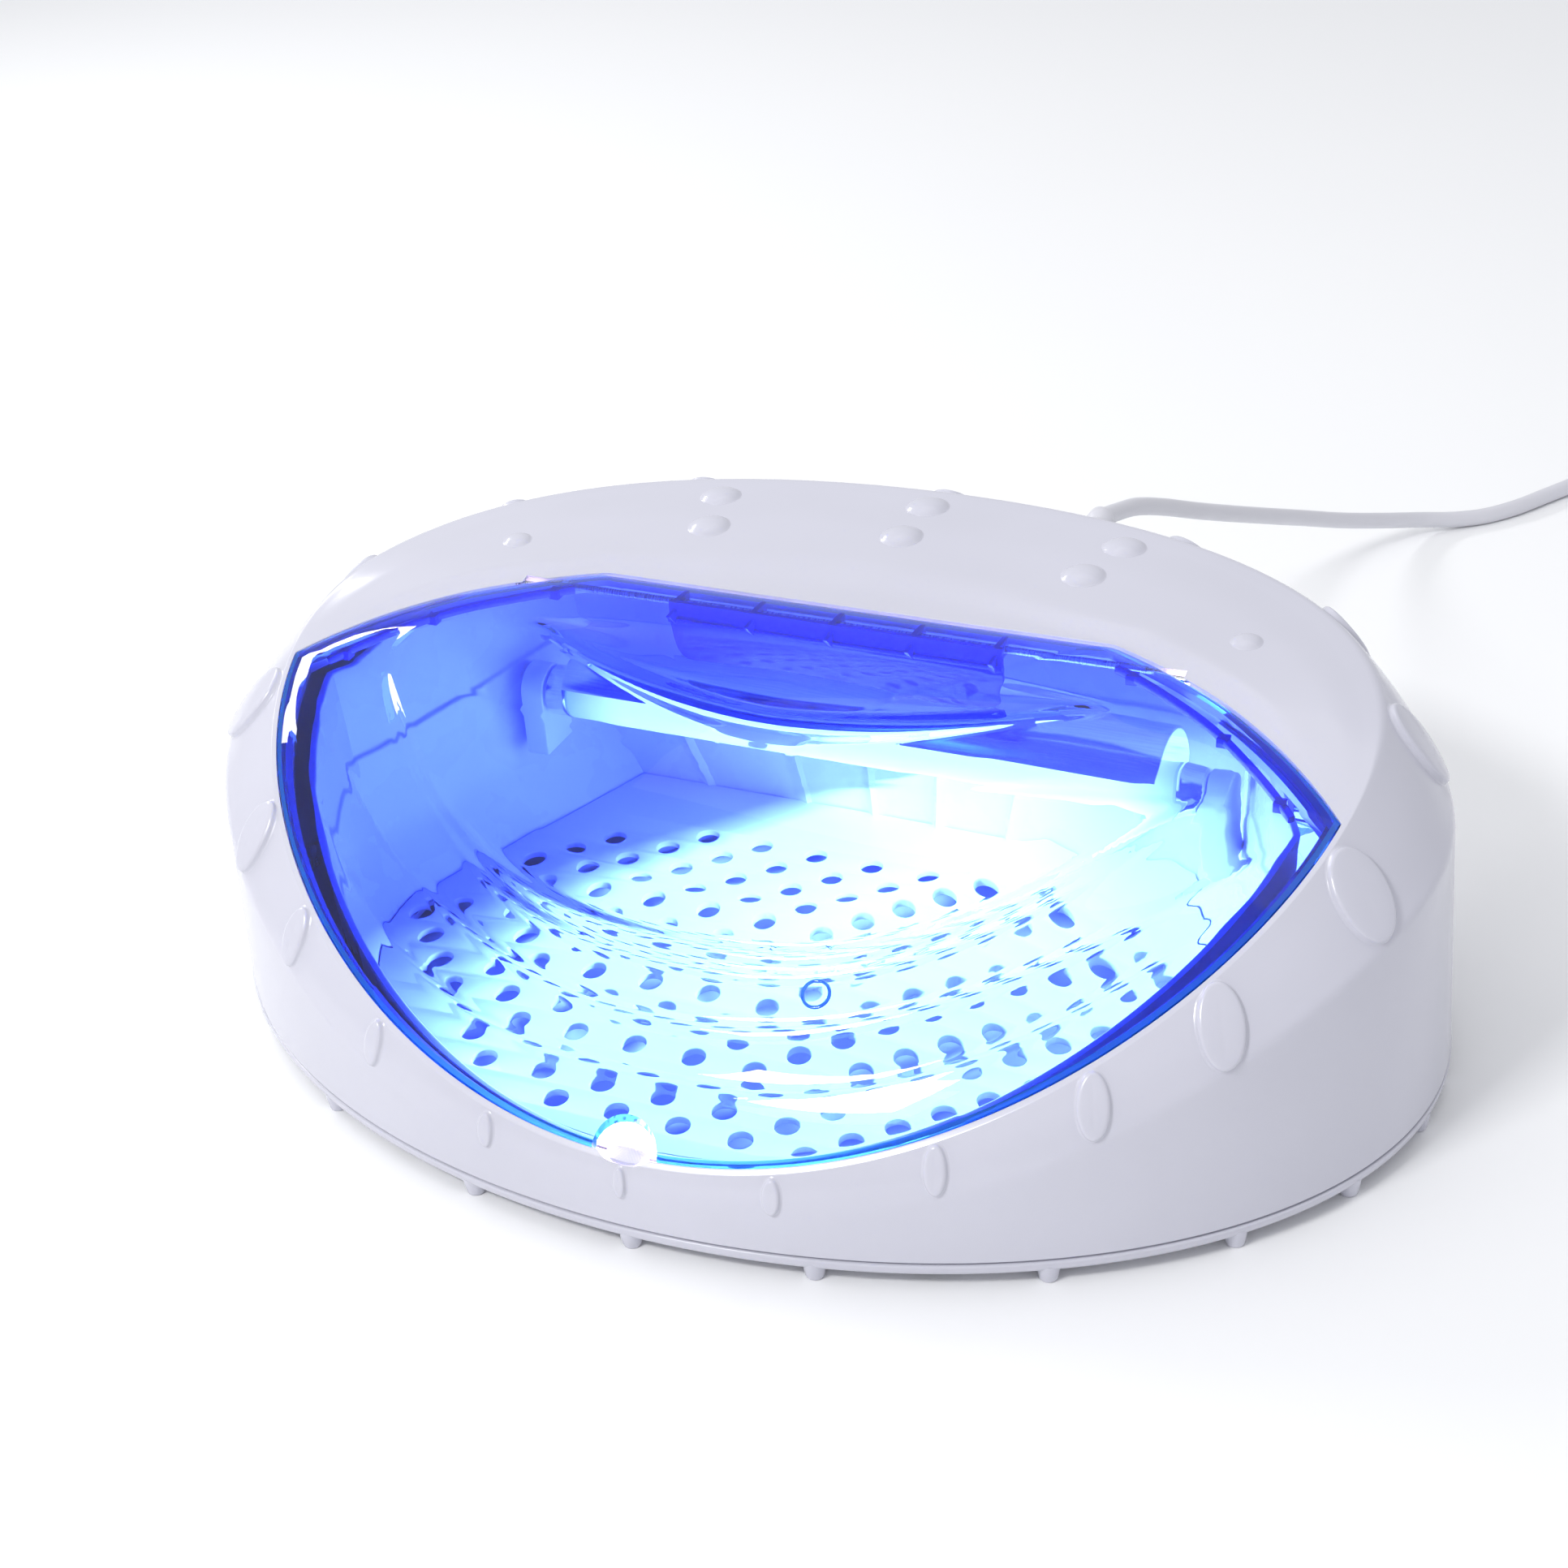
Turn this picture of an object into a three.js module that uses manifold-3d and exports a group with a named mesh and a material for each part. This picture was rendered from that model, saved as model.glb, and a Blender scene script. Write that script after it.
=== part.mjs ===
// UV curing cabinet: an oval bench-top box with a hinged tinted lid, a fluorescent UV tube,
// a perforated tray and a mains cord.  Millimetres, +Z up, front towards -Y, +X to the right.
// The origin is on the bench under the middle of the body.
import * as THREE from "three";
import { mergeVertices } from "three/addons/utils/BufferGeometryUtils.js";
import Module from "manifold-3d";

const wasm = await Module();
wasm.setup();

// ---------------------------------------------------------------- driving dimensions
const HALF_WIDTH = 185; // body, at its foot
const HALF_DEPTH = 129.4;
const WALL_LEAN = 0.037; // the wall leans in this much for each mm of height
const SKIN = 2.5; // moulded wall thickness
const HOUSING_FOOT = 8.3;
const PAN_BOTTOM = 4;
const PAN_TOP = 6.5;
const GAP = 0.4; // clearance between neighbouring mouldings

const LID_HALF_WIDTH = 160.03; // ellipse that the front edge of the lid follows
const LID_FRONT = 125;
const CORNER_Y = -17.8; // where the front arc meets the side arcs of the lid
const HINGE_END = new THREE.Vector2(80.4, 35.6);
const SIDE_ARC_PULL = new THREE.Vector2(125.6, 17.1);
const LIP = 1.5; // flat lip between lid and chamfer band
const CROWN_REAR = 109; // rear end of the crown plateau
const LID_THICKNESS = 2.6;
const LID_SKIRT = 3.9;
const LEDGE_DEPTH = 4.5; // how far the lid's seat lies below the surface
const LEDGE_WIDTH = 5;

const HINGE_Y = 27.5;
const HINGE_Z = 105.2;
const ROD_R = 1;
const ROD_PLAY = 0.3; // between the hinge rod and what it turns in

const FLOOR_CENTRE_Y = -20;
const TRAY_BOTTOM = 14.7;
const TRAY_THICKNESS = 2;

const TUBE_R = 8; // T5 lamp
const LAMP_HALF = 106; // half of the 212 mm between the faces of its caps
const LAMP_Y = 41;
const LAMP_Z = 61;
const PIN_SPREAD = 2.38; // each lamp pin from the lamp's axis

const CORD_R = 3;
const EXIT = new THREE.Vector3(38, 152, 88.5);

const FRONT_STEPS = 16; // stations along one half of the front arc
const SIDE_STEPS = 8;
const HINGE_STEPS = 8;

// ---------------------------------------------------------------- materials
const paint = (color, roughness, metalness = 0) =>
  new THREE.MeshStandardMaterial({ color, roughness, metalness });
const whiteShell = paint(0xe3e3ee, 0.25);
const whiteInner = paint(0xe9ebf6, 0.35);
const blueClear = new THREE.MeshStandardMaterial({
  color: 0x2a5cff,
  roughness: 0.05,
  transparent: true,
  opacity: 0.45,
});
const steel = paint(0xb9bcc2, 0.3, 1);
const aluminium = paint(0xd9dce2, 0.18, 1);
const lampGlass = paint(0xf4f6ff, 0.1);
const darkPlastic = paint(0x2b2d33, 0.5);
const copperRed = paint(0x8c3b26, 0.55);
const leadBlue = paint(0x2f55a8, 0.5);
const cordWhite = paint(0xe8e8ef, 0.45);

// ---------------------------------------------------------------- solids
const model = new THREE.Group();

function addPart(name, geometry, material) {
  const mesh = new THREE.Mesh(geometry, material);
  mesh.name = name;
  model.add(mesh);
  return mesh;
}

function toSolid(geometry) {
  const bare = geometry.clone();
  bare.deleteAttribute("normal");
  bare.deleteAttribute("uv");
  const merged = mergeVertices(bare, 1e-4);
  return new wasm.Manifold(
    new wasm.Mesh({
      numProp: 3,
      vertProperties: new Float32Array(merged.attributes.position.array),
      triVerts: new Uint32Array(merged.index.array),
    })
  );
}

function toGeometry(solid) {
  const { vertProperties, triVerts } = solid.getMesh();
  const geometry = new THREE.BufferGeometry();
  geometry.setAttribute("position", new THREE.BufferAttribute(new Float32Array(vertProperties), 3));
  geometry.setIndex(new THREE.BufferAttribute(new Uint32Array(triVerts), 1));
  geometry.computeVertexNormals();
  return geometry;
}

const box = (x0, x1, y0, y1, z0, z1) =>
  new THREE.BoxGeometry(x1 - x0, y1 - y0, z1 - z0).translate(
    (x0 + x1) / 2,
    (y0 + y1) / 2,
    (z0 + z1) / 2
  );
const rodX = (r, x0, x1, y, z, sides = 16) =>
  new THREE.CylinderGeometry(r, r, x1 - x0, sides).rotateZ(Math.PI / 2).translate((x0 + x1) / 2, y, z);
const rodZ = (rTop, rBottom, x, y, z0, z1, sides = 12) =>
  new THREE.CylinderGeometry(rTop, rBottom, z1 - z0, sides)
    .rotateX(Math.PI / 2)
    .translate(x, y, (z0 + z1) / 2);
const rodY = (r, x, y0, y1, z, sides = 12) =>
  new THREE.CylinderGeometry(r, r, y1 - y0, sides).translate(x, (y0 + y1) / 2, z);

// Skins a grid of rows of points.  Each row closes on itself.  The rows either close on
// themselves too, or end in a single point at each end.
function skin(rows, poles) {
  const n = rows[0].length;
  const points = rows.flat();
  const index = [];
  const last = poles ? rows.length - 1 : rows.length;
  for (let r = 0; r < last; r++) {
    const low = r * n;
    const high = ((r + 1) % rows.length) * n;
    for (let c = 0; c < n; c++) {
      const d = (c + 1) % n;
      index.push(low + c, low + d, high + d, low + c, high + d, high + c);
    }
  }
  if (poles) {
    const [first, final] = poles;
    const top = points.push(first) - 1;
    const bottom = points.push(final) - 1;
    const end = (rows.length - 1) * n;
    for (let c = 0; c < n; c++) {
      const d = (c + 1) % n;
      index.push(top, d, c, bottom, end + c, end + d);
    }
  }
  const volume = index.reduce((sum, _, k) => {
    if (k % 3) return sum;
    const [a, b, c] = [points[index[k]], points[index[k + 1]], points[index[k + 2]]];
    return sum + a.dot(b.clone().cross(c));
  }, 0);
  if (volume < 0) index.reverse();
  const geometry = new THREE.BufferGeometry().setFromPoints(points);
  geometry.setIndex(index);
  geometry.computeVertexNormals();
  return geometry;
}

function polygon(radius, sides) {
  const corners = Array.from({ length: sides }, (_, k) => {
    const angle = (k / sides) * 2 * Math.PI;
    return new THREE.Vector2(radius * Math.cos(angle), radius * Math.sin(angle));
  });
  return new THREE.Shape(corners);
}

function tubeAlong(points, radius, steps, sides) {
  const extrudePath = new THREE.CatmullRomCurve3(points);
  return new THREE.ExtrudeGeometry(polygon(radius, sides), { steps, extrudePath });
}

// ---------------------------------------------------------------- shared surfaces
// Height of the surface in which lid and lip lie.
function topSurface(y) {
  const q = Math.min(y, HINGE_END.y);
  const beyond = Math.max(y - HINGE_END.y, 0);
  return 101.94 + 0.25306 * q - 0.002644 * q * q + 0.065 * beyond;
}

// Height of the crease between the outer wall and the chamfer band.
function wallTop(y) {
  const reach = Math.abs(y) / 129;
  return y < 0 ? 78 - 61 * reach ** 2.1 : 78 + 15 * reach ** 1.5;
}

const CORNER_ANGLE = Math.asin(CORNER_Y / LID_FRONT);
const HALF_STEPS = FRONT_STEPS + SIDE_STEPS + HINGE_STEPS;
const HALF_TURN = Math.PI / 2;

// The stations of a right half, from the front centre to the back centre.
function station(k) {
  if (k <= FRONT_STEPS) {
    const f = k / FRONT_STEPS;
    return { rear: 0, angle: -HALF_TURN + (HALF_TURN + CORNER_ANGLE) * f, k };
  }
  const rear = (k - FRONT_STEPS) / (SIDE_STEPS + HINGE_STEPS);
  return { rear, angle: CORNER_ANGLE + (HALF_TURN - CORNER_ANGLE) * rear, k };
}

// Runs a function of a station all round, mirroring the right half.
function allRound(pointAt) {
  const right = [];
  for (let k = 0; k <= HALF_STEPS; k++) right.push(pointAt(station(k)));
  const left = right.slice(1, -1).reverse();
  return [...right, ...left.map((p) => new THREE.Vector3(-p.x, p.y, p.z))];
}

// Plan of the lid opening, moved outwards by offset, and by hingeOffset at the hinge edge.
function opening({ angle, rear, k }, offset, hingeOffset = offset) {
  if (rear === 0) {
    const x = (LID_HALF_WIDTH + offset) * Math.cos(angle);
    return new THREE.Vector2(Math.max(x, 0), (LID_FRONT + offset) * Math.sin(angle));
  }
  if (k <= FRONT_STEPS + SIDE_STEPS) {
    const t = (k - FRONT_STEPS) / SIDE_STEPS;
    const corner = new THREE.Vector2(LID_HALF_WIDTH * Math.cos(CORNER_ANGLE), CORNER_Y);
    const p = corner.multiplyScalar((1 - t) ** 2);
    p.addScaledVector(SIDE_ARC_PULL, 2 * t * (1 - t)).addScaledVector(HINGE_END, t * t);
    const out = offset + (hingeOffset - offset) * Math.min(1, 1.8 * t);
    return p.add(new THREE.Vector2(0.55 * (1 - t), 0.83).multiplyScalar(out));
  }
  const t = (k - FRONT_STEPS - SIDE_STEPS) / HINGE_STEPS;
  return new THREE.Vector2(HINGE_END.x * (1 - t), HINGE_END.y + hingeOffset);
}

const wallPoint = (angle, z, inset = 0) =>
  new THREE.Vector3(
    (HALF_WIDTH - WALL_LEAN * z - inset) * Math.cos(angle),
    (HALF_DEPTH - WALL_LEAN * z - inset) * Math.sin(angle),
    z
  );

// The rim where the band ends: the lip beside the lid in front, the crown's ridge behind.
function rimPlan({ angle, rear }, inset = 0) {
  const blend = rear * rear * (3 - 2 * rear);
  const depth = LID_FRONT + LIP + (CROWN_REAR - LID_FRONT - LIP) * blend - inset;
  const x = (LID_HALF_WIDTH + LIP - inset) * Math.cos(angle);
  return new THREE.Vector2(x, depth * Math.sin(angle));
}

const at = (plan, z) => new THREE.Vector3(plan.x, plan.y, z);
const towards = (plan, distance) => {
  const inward = new THREE.Vector2(-plan.x, FLOOR_CENTRE_Y - plan.y).normalize();
  return plan.clone().addScaledVector(inward, distance);
};

// ---------------------------------------------------------------- housing
const HINGE_LIP_GAP = 1.4; // extra room behind the lid's rear edge

function housingShell() {
  const seat = (s) => opening(s, 0, HINGE_LIP_GAP);
  const seatWidth = (s) => (seat(s).y > 17 ? 0.8 : LEDGE_WIDTH);
  const wallCrease = (s) => {
    const y = HALF_DEPTH * Math.sin(s.angle);
    return wallTop(y);
  };
  const rim = (s) => at(rimPlan(s), topSurface(rimPlan(s).y));
  const crown = (s, v) => {
    const plan = seat(s).lerp(rimPlan(s), v);
    return at(plan, topSurface(plan.y) + 1.6 * s.rear * Math.sin(Math.PI * v));
  };
  const bandMiddle = (s) => {
    const low = wallPoint(s.angle, wallCrease(s));
    const bulge = new THREE.Vector3(Math.cos(s.angle), Math.sin(s.angle), 1);
    return low.lerp(rim(s), 0.5).addScaledVector(bulge, 0.8);
  };
  const seatTop = (s) => topSurface(seat(s).y);
  const rows = [
    (s) => wallPoint(s.angle, HOUSING_FOOT),
    (s) => wallPoint(s.angle, wallCrease(s)),
    bandMiddle,
    rim,
    (s) => crown(s, 0.67),
    (s) => crown(s, 0.33),
    (s) => at(seat(s), seatTop(s)),
    (s) => at(seat(s), seatTop(s) - LEDGE_DEPTH),
    (s) => at(towards(seat(s), seatWidth(s)), seatTop(s) - LEDGE_DEPTH),
    (s) => at(towards(seat(s), seatWidth(s)), seatTop(s) - LEDGE_DEPTH - SKIN),
    (s) => at(rimPlan(s, 3), topSurface(rimPlan(s).y) - (s.rear > 0 ? 3.5 : 6.5)),
    (s) => wallPoint(s.angle, wallCrease(s) - 2, SKIN),
    (s) => wallPoint(s.angle, HOUSING_FOOT, SKIN),
  ];
  return skin(rows.map(allRound));
}

// Screw bosses stand inside the wall.
const SCREW_ANGLES = [-116, -64, 0, 64, 116, 180].map(THREE.MathUtils.degToRad);
const BOSS_TOP = 17;
const screwPlace = (angle) =>
  new THREE.Vector2((HALF_WIDTH - 6) * Math.cos(angle), (HALF_DEPTH - 6) * Math.sin(angle));

const PLUNGER = new THREE.Vector2(154.3, -24);
const BEARING = { x0: 106, x1: 113, y0: HINGE_Y - 2.2, y1: HINGE_Y + 2.2, z0: 98.5, z1: HINGE_Z + 0.8 };
const SLEEVE_R = 5.6;

let housing = toSolid(housingShell());
for (const angle of SCREW_ANGLES) {
  const { x, y } = screwPlace(angle);
  housing = housing.add(toSolid(rodZ(4.2, 4.2, x, y, HOUSING_FOOT, BOSS_TOP, 10)));
  housing = housing.subtract(toSolid(rodZ(1.9, 1.9, x, y, HOUSING_FOOT - 1, BOSS_TOP - 2, 8)));
}
for (const side of [-1, 1]) {
  const x = [side * 92, side * (BEARING.x1 + GAP)].sort((a, b) => a - b);
  const pocketTop = HINGE_Z + ROD_R + 0.15;
  housing = housing.subtract(
    toSolid(box(...x, BEARING.y0 - GAP, BEARING.y1 + GAP, 92, pocketTop))
  );
  // The lid's rear corners dip here as the lid swings up.
  const dip = [side * 92, side * 100.6].sort((a, b) => a - b);
  housing = housing.subtract(toSolid(rodX(2.6, ...dip, HINGE_Y, HINGE_Z, 12)));
}
housing = housing.subtract(toSolid(rodZ(2, 2, PLUNGER.x, PLUNGER.y, 80, 99, 10)));
housing = housing.subtract(toSolid(rodY(SLEEVE_R + GAP, EXIT.x, 112, 140, EXIT.z, 12)));
addPart("housing", toGeometry(housing), whiteShell);

// ---------------------------------------------------------------- base pan with its pegs
const PEG_ANGLES = [0, 0.283, 0.634, 0.955, 1.217, 1.483]; // from the front centre
const PEG = { top: 3.4, tip: 2.6 };

function basePan() {
  const upstand = 6;
  const ring = (inset, z) =>
    allRound(({ angle }) => wallPoint(angle, 0, inset).setZ(z));
  const rows = [
    ring(3, PAN_BOTTOM),
    ring(0.6, PAN_BOTTOM + 0.8),
    ring(0, HOUSING_FOOT - GAP),
    ring(SKIN + 0.9, HOUSING_FOOT - GAP),
    ring(SKIN + 0.9, HOUSING_FOOT + upstand - 3),
    ring(SKIN + 2.4, HOUSING_FOOT + upstand - 3),
    ring(SKIN + 2.4, PAN_TOP),
  ];
  const poles = [new THREE.Vector3(0, 0, PAN_BOTTOM), new THREE.Vector3(0, 0, PAN_TOP)];
  let pan = toSolid(skin(rows, poles));
  const places = new Set();
  for (const fromFront of PEG_ANGLES) {
    for (const [sx, sy] of [[1, -1], [-1, -1], [1, 1], [-1, 1]]) {
      const x = sx * (HALF_WIDTH - 3.6) * Math.sin(fromFront);
      const y = sy * (HALF_DEPTH - 3.6) * Math.cos(fromFront);
      const key = `${x.toFixed(1)} ${y.toFixed(1)}`.replace("-0.0", "0.0");
      if (places.has(key)) continue;
      places.add(key);
      pan = pan.add(toSolid(rodZ(PEG.top, PEG.tip, x, y, 0, PAN_TOP - 1, 7)));
    }
  }
  for (const angle of SCREW_ANGLES) {
    const { x, y } = screwPlace(angle);
    pan = pan.subtract(toSolid(rodZ(4.6, 4.6, x, y, PAN_TOP - 0.6, 20, 10)));
    pan = pan.subtract(toSolid(rodZ(1.9, 1.9, x, y, -1, 20, 8)));
    pan = pan.subtract(toSolid(rodZ(3.4, 3.4, x, y, -1, PAN_BOTTOM + 1, 8)));
  }
  return toGeometry(pan);
}
addPart("base_pan", basePan(), whiteShell);

SCREW_ANGLES.forEach((angle, number) => {
  const { x, y } = screwPlace(angle);
  const shank = toSolid(rodZ(1.5, 1.5, x, y, 3, 14, 8));
  const head = toSolid(rodZ(2.9, 2.9, x, y, 2.6, PAN_BOTTOM + 0.6, 8));
  addPart(`base_screw_${number + 1}`, toGeometry(shank.add(head)), steel);
});

// ---------------------------------------------------------------- chamber tub
const FLOOR = { a: 130, b: 89, side: [106, 38], back: [94, 69] };
const MOUTH = { a: 147.5, b: 117, side: [128, 24], back: [116, 71] };
const TUB_STEPS = [14, 6, 3, 5];

// Half outline of the tub: an elliptic front, a side, an end wall and a flat back.
function tubHalf({ a, b, side, back }, centreY, startY) {
  const turn = Math.asin((startY - centreY) / b);
  const points = [];
  const [front, sides, ends, backs] = TUB_STEPS;
  for (let k = 0; k < front; k++) {
    const angle = -HALF_TURN + ((HALF_TURN + turn) * k) / front;
    points.push(new THREE.Vector2(Math.max(a * Math.cos(angle), 0), centreY + b * Math.sin(angle)));
  }
  const knee = new THREE.Vector2(a * Math.cos(turn), startY);
  const sidePoint = new THREE.Vector2(...side);
  const backPoint = new THREE.Vector2(...back);
  const run = (from, to, steps) => {
    for (let k = 0; k < steps; k++) points.push(from.clone().lerp(to, k / steps));
  };
  run(knee, sidePoint, sides);
  run(sidePoint, backPoint, ends);
  run(backPoint, new THREE.Vector2(0, back[1]), backs);
  points.push(new THREE.Vector2(0, back[1]));
  return points;
}

const floorHalf = tubHalf(FLOOR, FLOOR_CENTRE_Y, FLOOR_CENTRE_Y);
const mouthHalf = tubHalf(MOUTH, 0, CORNER_Y);
const mouthHeight = (y) => {
  const drop = 5.4 + 3 * THREE.MathUtils.smoothstep(y, -20, -9);
  return topSurface(y < 0 ? y * 1.06 : y) - drop;
};

function tubRow(pointAt) {
  const right = floorHalf.map((floor, k) => pointAt(floor, mouthHalf[k]));
  const left = right.slice(1, -1).reverse();
  return [...right, ...left.map((p) => new THREE.Vector3(-p.x, p.y, p.z))];
}

function chamberTub() {
  const wall = 2;
  const floorZ = TRAY_BOTTOM - GAP;
  const bend = (f, m) => f.clone().lerp(m, 0.65);
  const bendZ = (m) => floorZ + (mouthHeight(m.y) - floorZ) * 0.3;
  return skin([
    tubRow((f, m) => at(towards(m, -wall), mouthHeight(m.y))),
    tubRow((f, m) => at(m, mouthHeight(m.y))),
    tubRow((f, m) => at(bend(f, m), bendZ(m))),
    tubRow((f) => at(f, floorZ + 2.2)),
    tubRow((f) => at(f, floorZ)),
    tubRow((f) => at(towards(f, 5), floorZ)),
    tubRow((f) => at(towards(f, 5), floorZ - wall)),
    tubRow((f) => at(towards(f, -wall), floorZ - wall)),
    tubRow((f, m) => at(towards(bend(f, m), -wall), bendZ(m) - 1)),
  ]);
}
addPart("chamber_tub", chamberTub(), whiteInner);

// ---------------------------------------------------------------- perforated tray
const HOLE_R = 3.5;
const ROW_PITCH = 9.65;
const HOLE_PITCH = 18.7;
const HOLE_MARGIN = 7.5; // holes stay this far from the tray's edge

function perforatedTray() {
  const edge = tubRow((f) => at(towards(f, 0.7), 0));
  const shape = new THREE.Shape(edge.map((p) => new THREE.Vector2(p.x, p.y)));
  const rows = 15;
  for (let row = 0; row < rows; row++) {
    const y = 40 - row * ROW_PITCH;
    for (let column = -7; column <= 7; column++) {
      const x = (column + (row % 2) / 2) * HOLE_PITCH;
      const reach = y < FLOOR_CENTRE_Y ? FLOOR.b - HOLE_MARGIN : 72;
      const inside = (x / (FLOOR.a - HOLE_MARGIN)) ** 2 + ((y - FLOOR_CENTRE_Y) / reach) ** 2 < 1;
      if (!inside) continue;
      const corners = polygon(HOLE_R, 6).getPoints();
      shape.holes.push(new THREE.Path(corners.map((c) => new THREE.Vector2(c.x + x, c.y + y)).reverse()));
    }
  }
  return new THREE.ExtrudeGeometry(shape, { depth: TRAY_THICKNESS, bevelEnabled: false }).translate(
    0,
    0,
    TRAY_BOTTOM
  );
}
addPart("perforated_tray", perforatedTray(), whiteInner);

// ---------------------------------------------------------------- lid
const LID_CENTRE = new THREE.Vector2(0, -42);

// Height of the domed lid at a share of the way out from its centre.
const dome = (share) => 9 * (1 - share ** 2) + 2 * (1 - share ** 24);
const lidEdge = (s) => opening(s, -GAP);

function lidRow(share, heightAt) {
  return allRound((s) => {
    const plan = LID_CENTRE.clone().lerp(lidEdge(s), share);
    return at(plan, heightAt(plan.y, share));
  });
}

function lidShell() {
  const outside = (y, share) => topSurface(y) + dome(share);
  const inside = (y, share) => outside(y, share) - LID_THICKNESS;
  const skirt = (y) => topSurface(y) - LID_SKIRT;
  const shares = [0.2, 0.4, 0.6, 0.8, 0.93, 0.985];
  const rows = [
    ...shares.map((share) => lidRow(share, outside)),
    lidRow(1, (y) => topSurface(y)),
    lidRow(1, skirt),
    lidRow(0.985, skirt),
    lidRow(0.978, inside),
    ...[0.93, 0.8, 0.6, 0.4, 0.2].map((share) => lidRow(share, inside)),
  ];
  const peak = topSurface(LID_CENTRE.y) + dome(0);
  const lid = toSolid(
    skin(rows, [at(LID_CENTRE, peak), at(LID_CENTRE, peak - LID_THICKNESS)])
  );
  const notch = rodZ(1, 1, 0, 0, 10, 50, 20).scale(9.5, 6.5, 1).translate(0, -LID_FRONT, 0);
  const rodWay = rodX(ROD_R + ROD_PLAY, -112, 112, HINGE_Y, HINGE_Z, 12);
  return toGeometry(lid.subtract(toSolid(notch)).subtract(toSolid(rodWay)));
}
addPart("lid_shell", lidShell(), blueClear);

// The hinge frame: a cross web with gussets that the hinge rod passes through.
const FRAME_HALF = 50;
const GUSSETS = [-50, -25, 0, 25, 50];

function hingeFrame() {
  const top = 106.6;
  const web = box(-FRAME_HALF - 2, FRAME_HALF + 2, 22.4, 24, 91, top);
  let frame = toSolid(web);
  for (const x of GUSSETS) {
    frame = frame.add(toSolid(box(x - 1.2, x + 1.2, 17.5, 31, HINGE_Z - 2.4, top)));
  }
  return toGeometry(frame.subtract(toSolid(rodX(ROD_R + ROD_PLAY, -70, 70, HINGE_Y, HINGE_Z, 12))));
}
addPart("lid_hinge_frame", hingeFrame(), blueClear);
addPart("hinge_rod", rodX(ROD_R, -112, 112, HINGE_Y, HINGE_Z, 12), steel);

// Slim stiffening ribs run under the lid beside its side arcs.
for (const [name, side] of [["lid_rib_left", -1], ["lid_rib_right", 1]]) {
  const from = new THREE.Vector3(side * 146, -21, 93.6);
  const to = new THREE.Vector3(side * 74, 25, 105.2);
  const middle = new THREE.Vector3(side * 113, 8.5, 102);
  addPart(name, tubeAlong([from, middle, to], 0.9, 8, 6), blueClear);
}

for (const [name, side] of [["hinge_bearing_left", -1], ["hinge_bearing_right", 1]]) {
  const [x0, x1] = [side * BEARING.x0, side * BEARING.x1].sort((a, b) => a - b);
  const block = toSolid(box(x0, x1, BEARING.y0, BEARING.y1, BEARING.z0, BEARING.z1));
  const saddleR = ROD_R + ROD_PLAY;
  const bore = toSolid(rodX(saddleR, x0 - 1, x1 + 1, HINGE_Y, HINGE_Z, 12));
  const mouth = toSolid(
    box(x0 - 1, x1 + 1, HINGE_Y - saddleR, HINGE_Y + saddleR, HINGE_Z, BEARING.z1 + 1)
  );
  addPart(name, toGeometry(block.subtract(bore).subtract(mouth)), whiteInner);
}

// ---------------------------------------------------------------- lamp
function tubeGlass() {
  const half = LAMP_HALF - 8;
  const profile = [
    new THREE.Vector2(TUBE_R - 0.8, -half),
    new THREE.Vector2(TUBE_R, -half),
    new THREE.Vector2(TUBE_R, half),
    new THREE.Vector2(TUBE_R - 0.8, half),
    new THREE.Vector2(TUBE_R - 0.8, -half),
  ];
  return new THREE.LatheGeometry(profile, 20).rotateZ(HALF_TURN).translate(0, LAMP_Y, LAMP_Z);
}
addPart("uv_tube", tubeGlass(), lampGlass);

const PIN_LENGTH = 6.2;
for (const [name, side] of [["tube_cap_left", -1], ["tube_cap_right", 1]]) {
  const span = (near, far) => [side * near, side * far].sort((a, b) => a - b);
  let cap = toSolid(rodX(TUBE_R, ...span(LAMP_HALF - 7.6, LAMP_HALF), LAMP_Y, LAMP_Z, 20));
  for (const dy of [-PIN_SPREAD, PIN_SPREAD]) {
    const pin = rodX(1.2, ...span(LAMP_HALF - 1, LAMP_HALF + PIN_LENGTH), LAMP_Y + dy, LAMP_Z, 8);
    cap = cap.add(toSolid(pin));
  }
  addPart(name, toGeometry(cap), aluminium);
}

for (const [name, side] of [["lampholder_left", -1], ["lampholder_right", 1]]) {
  const span = (near, far) => [side * near, side * far].sort((a, b) => a - b);
  const inner = LAMP_HALF + GAP;
  const outer = inner + 7.6;
  const block = toSolid(box(...span(inner, outer), LAMP_Y - 8, LAMP_Y + 8, LAMP_Z - 20, LAMP_Z));
  const round = toSolid(rodX(8, ...span(inner, outer), LAMP_Y, LAMP_Z, 20));
  const pocket = toSolid(rodX(4.4, ...span(inner - 1, outer - 1.2), LAMP_Y, LAMP_Z, 16));
  addPart(name, toGeometry(block.add(round).subtract(pocket)), whiteInner);
}

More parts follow.
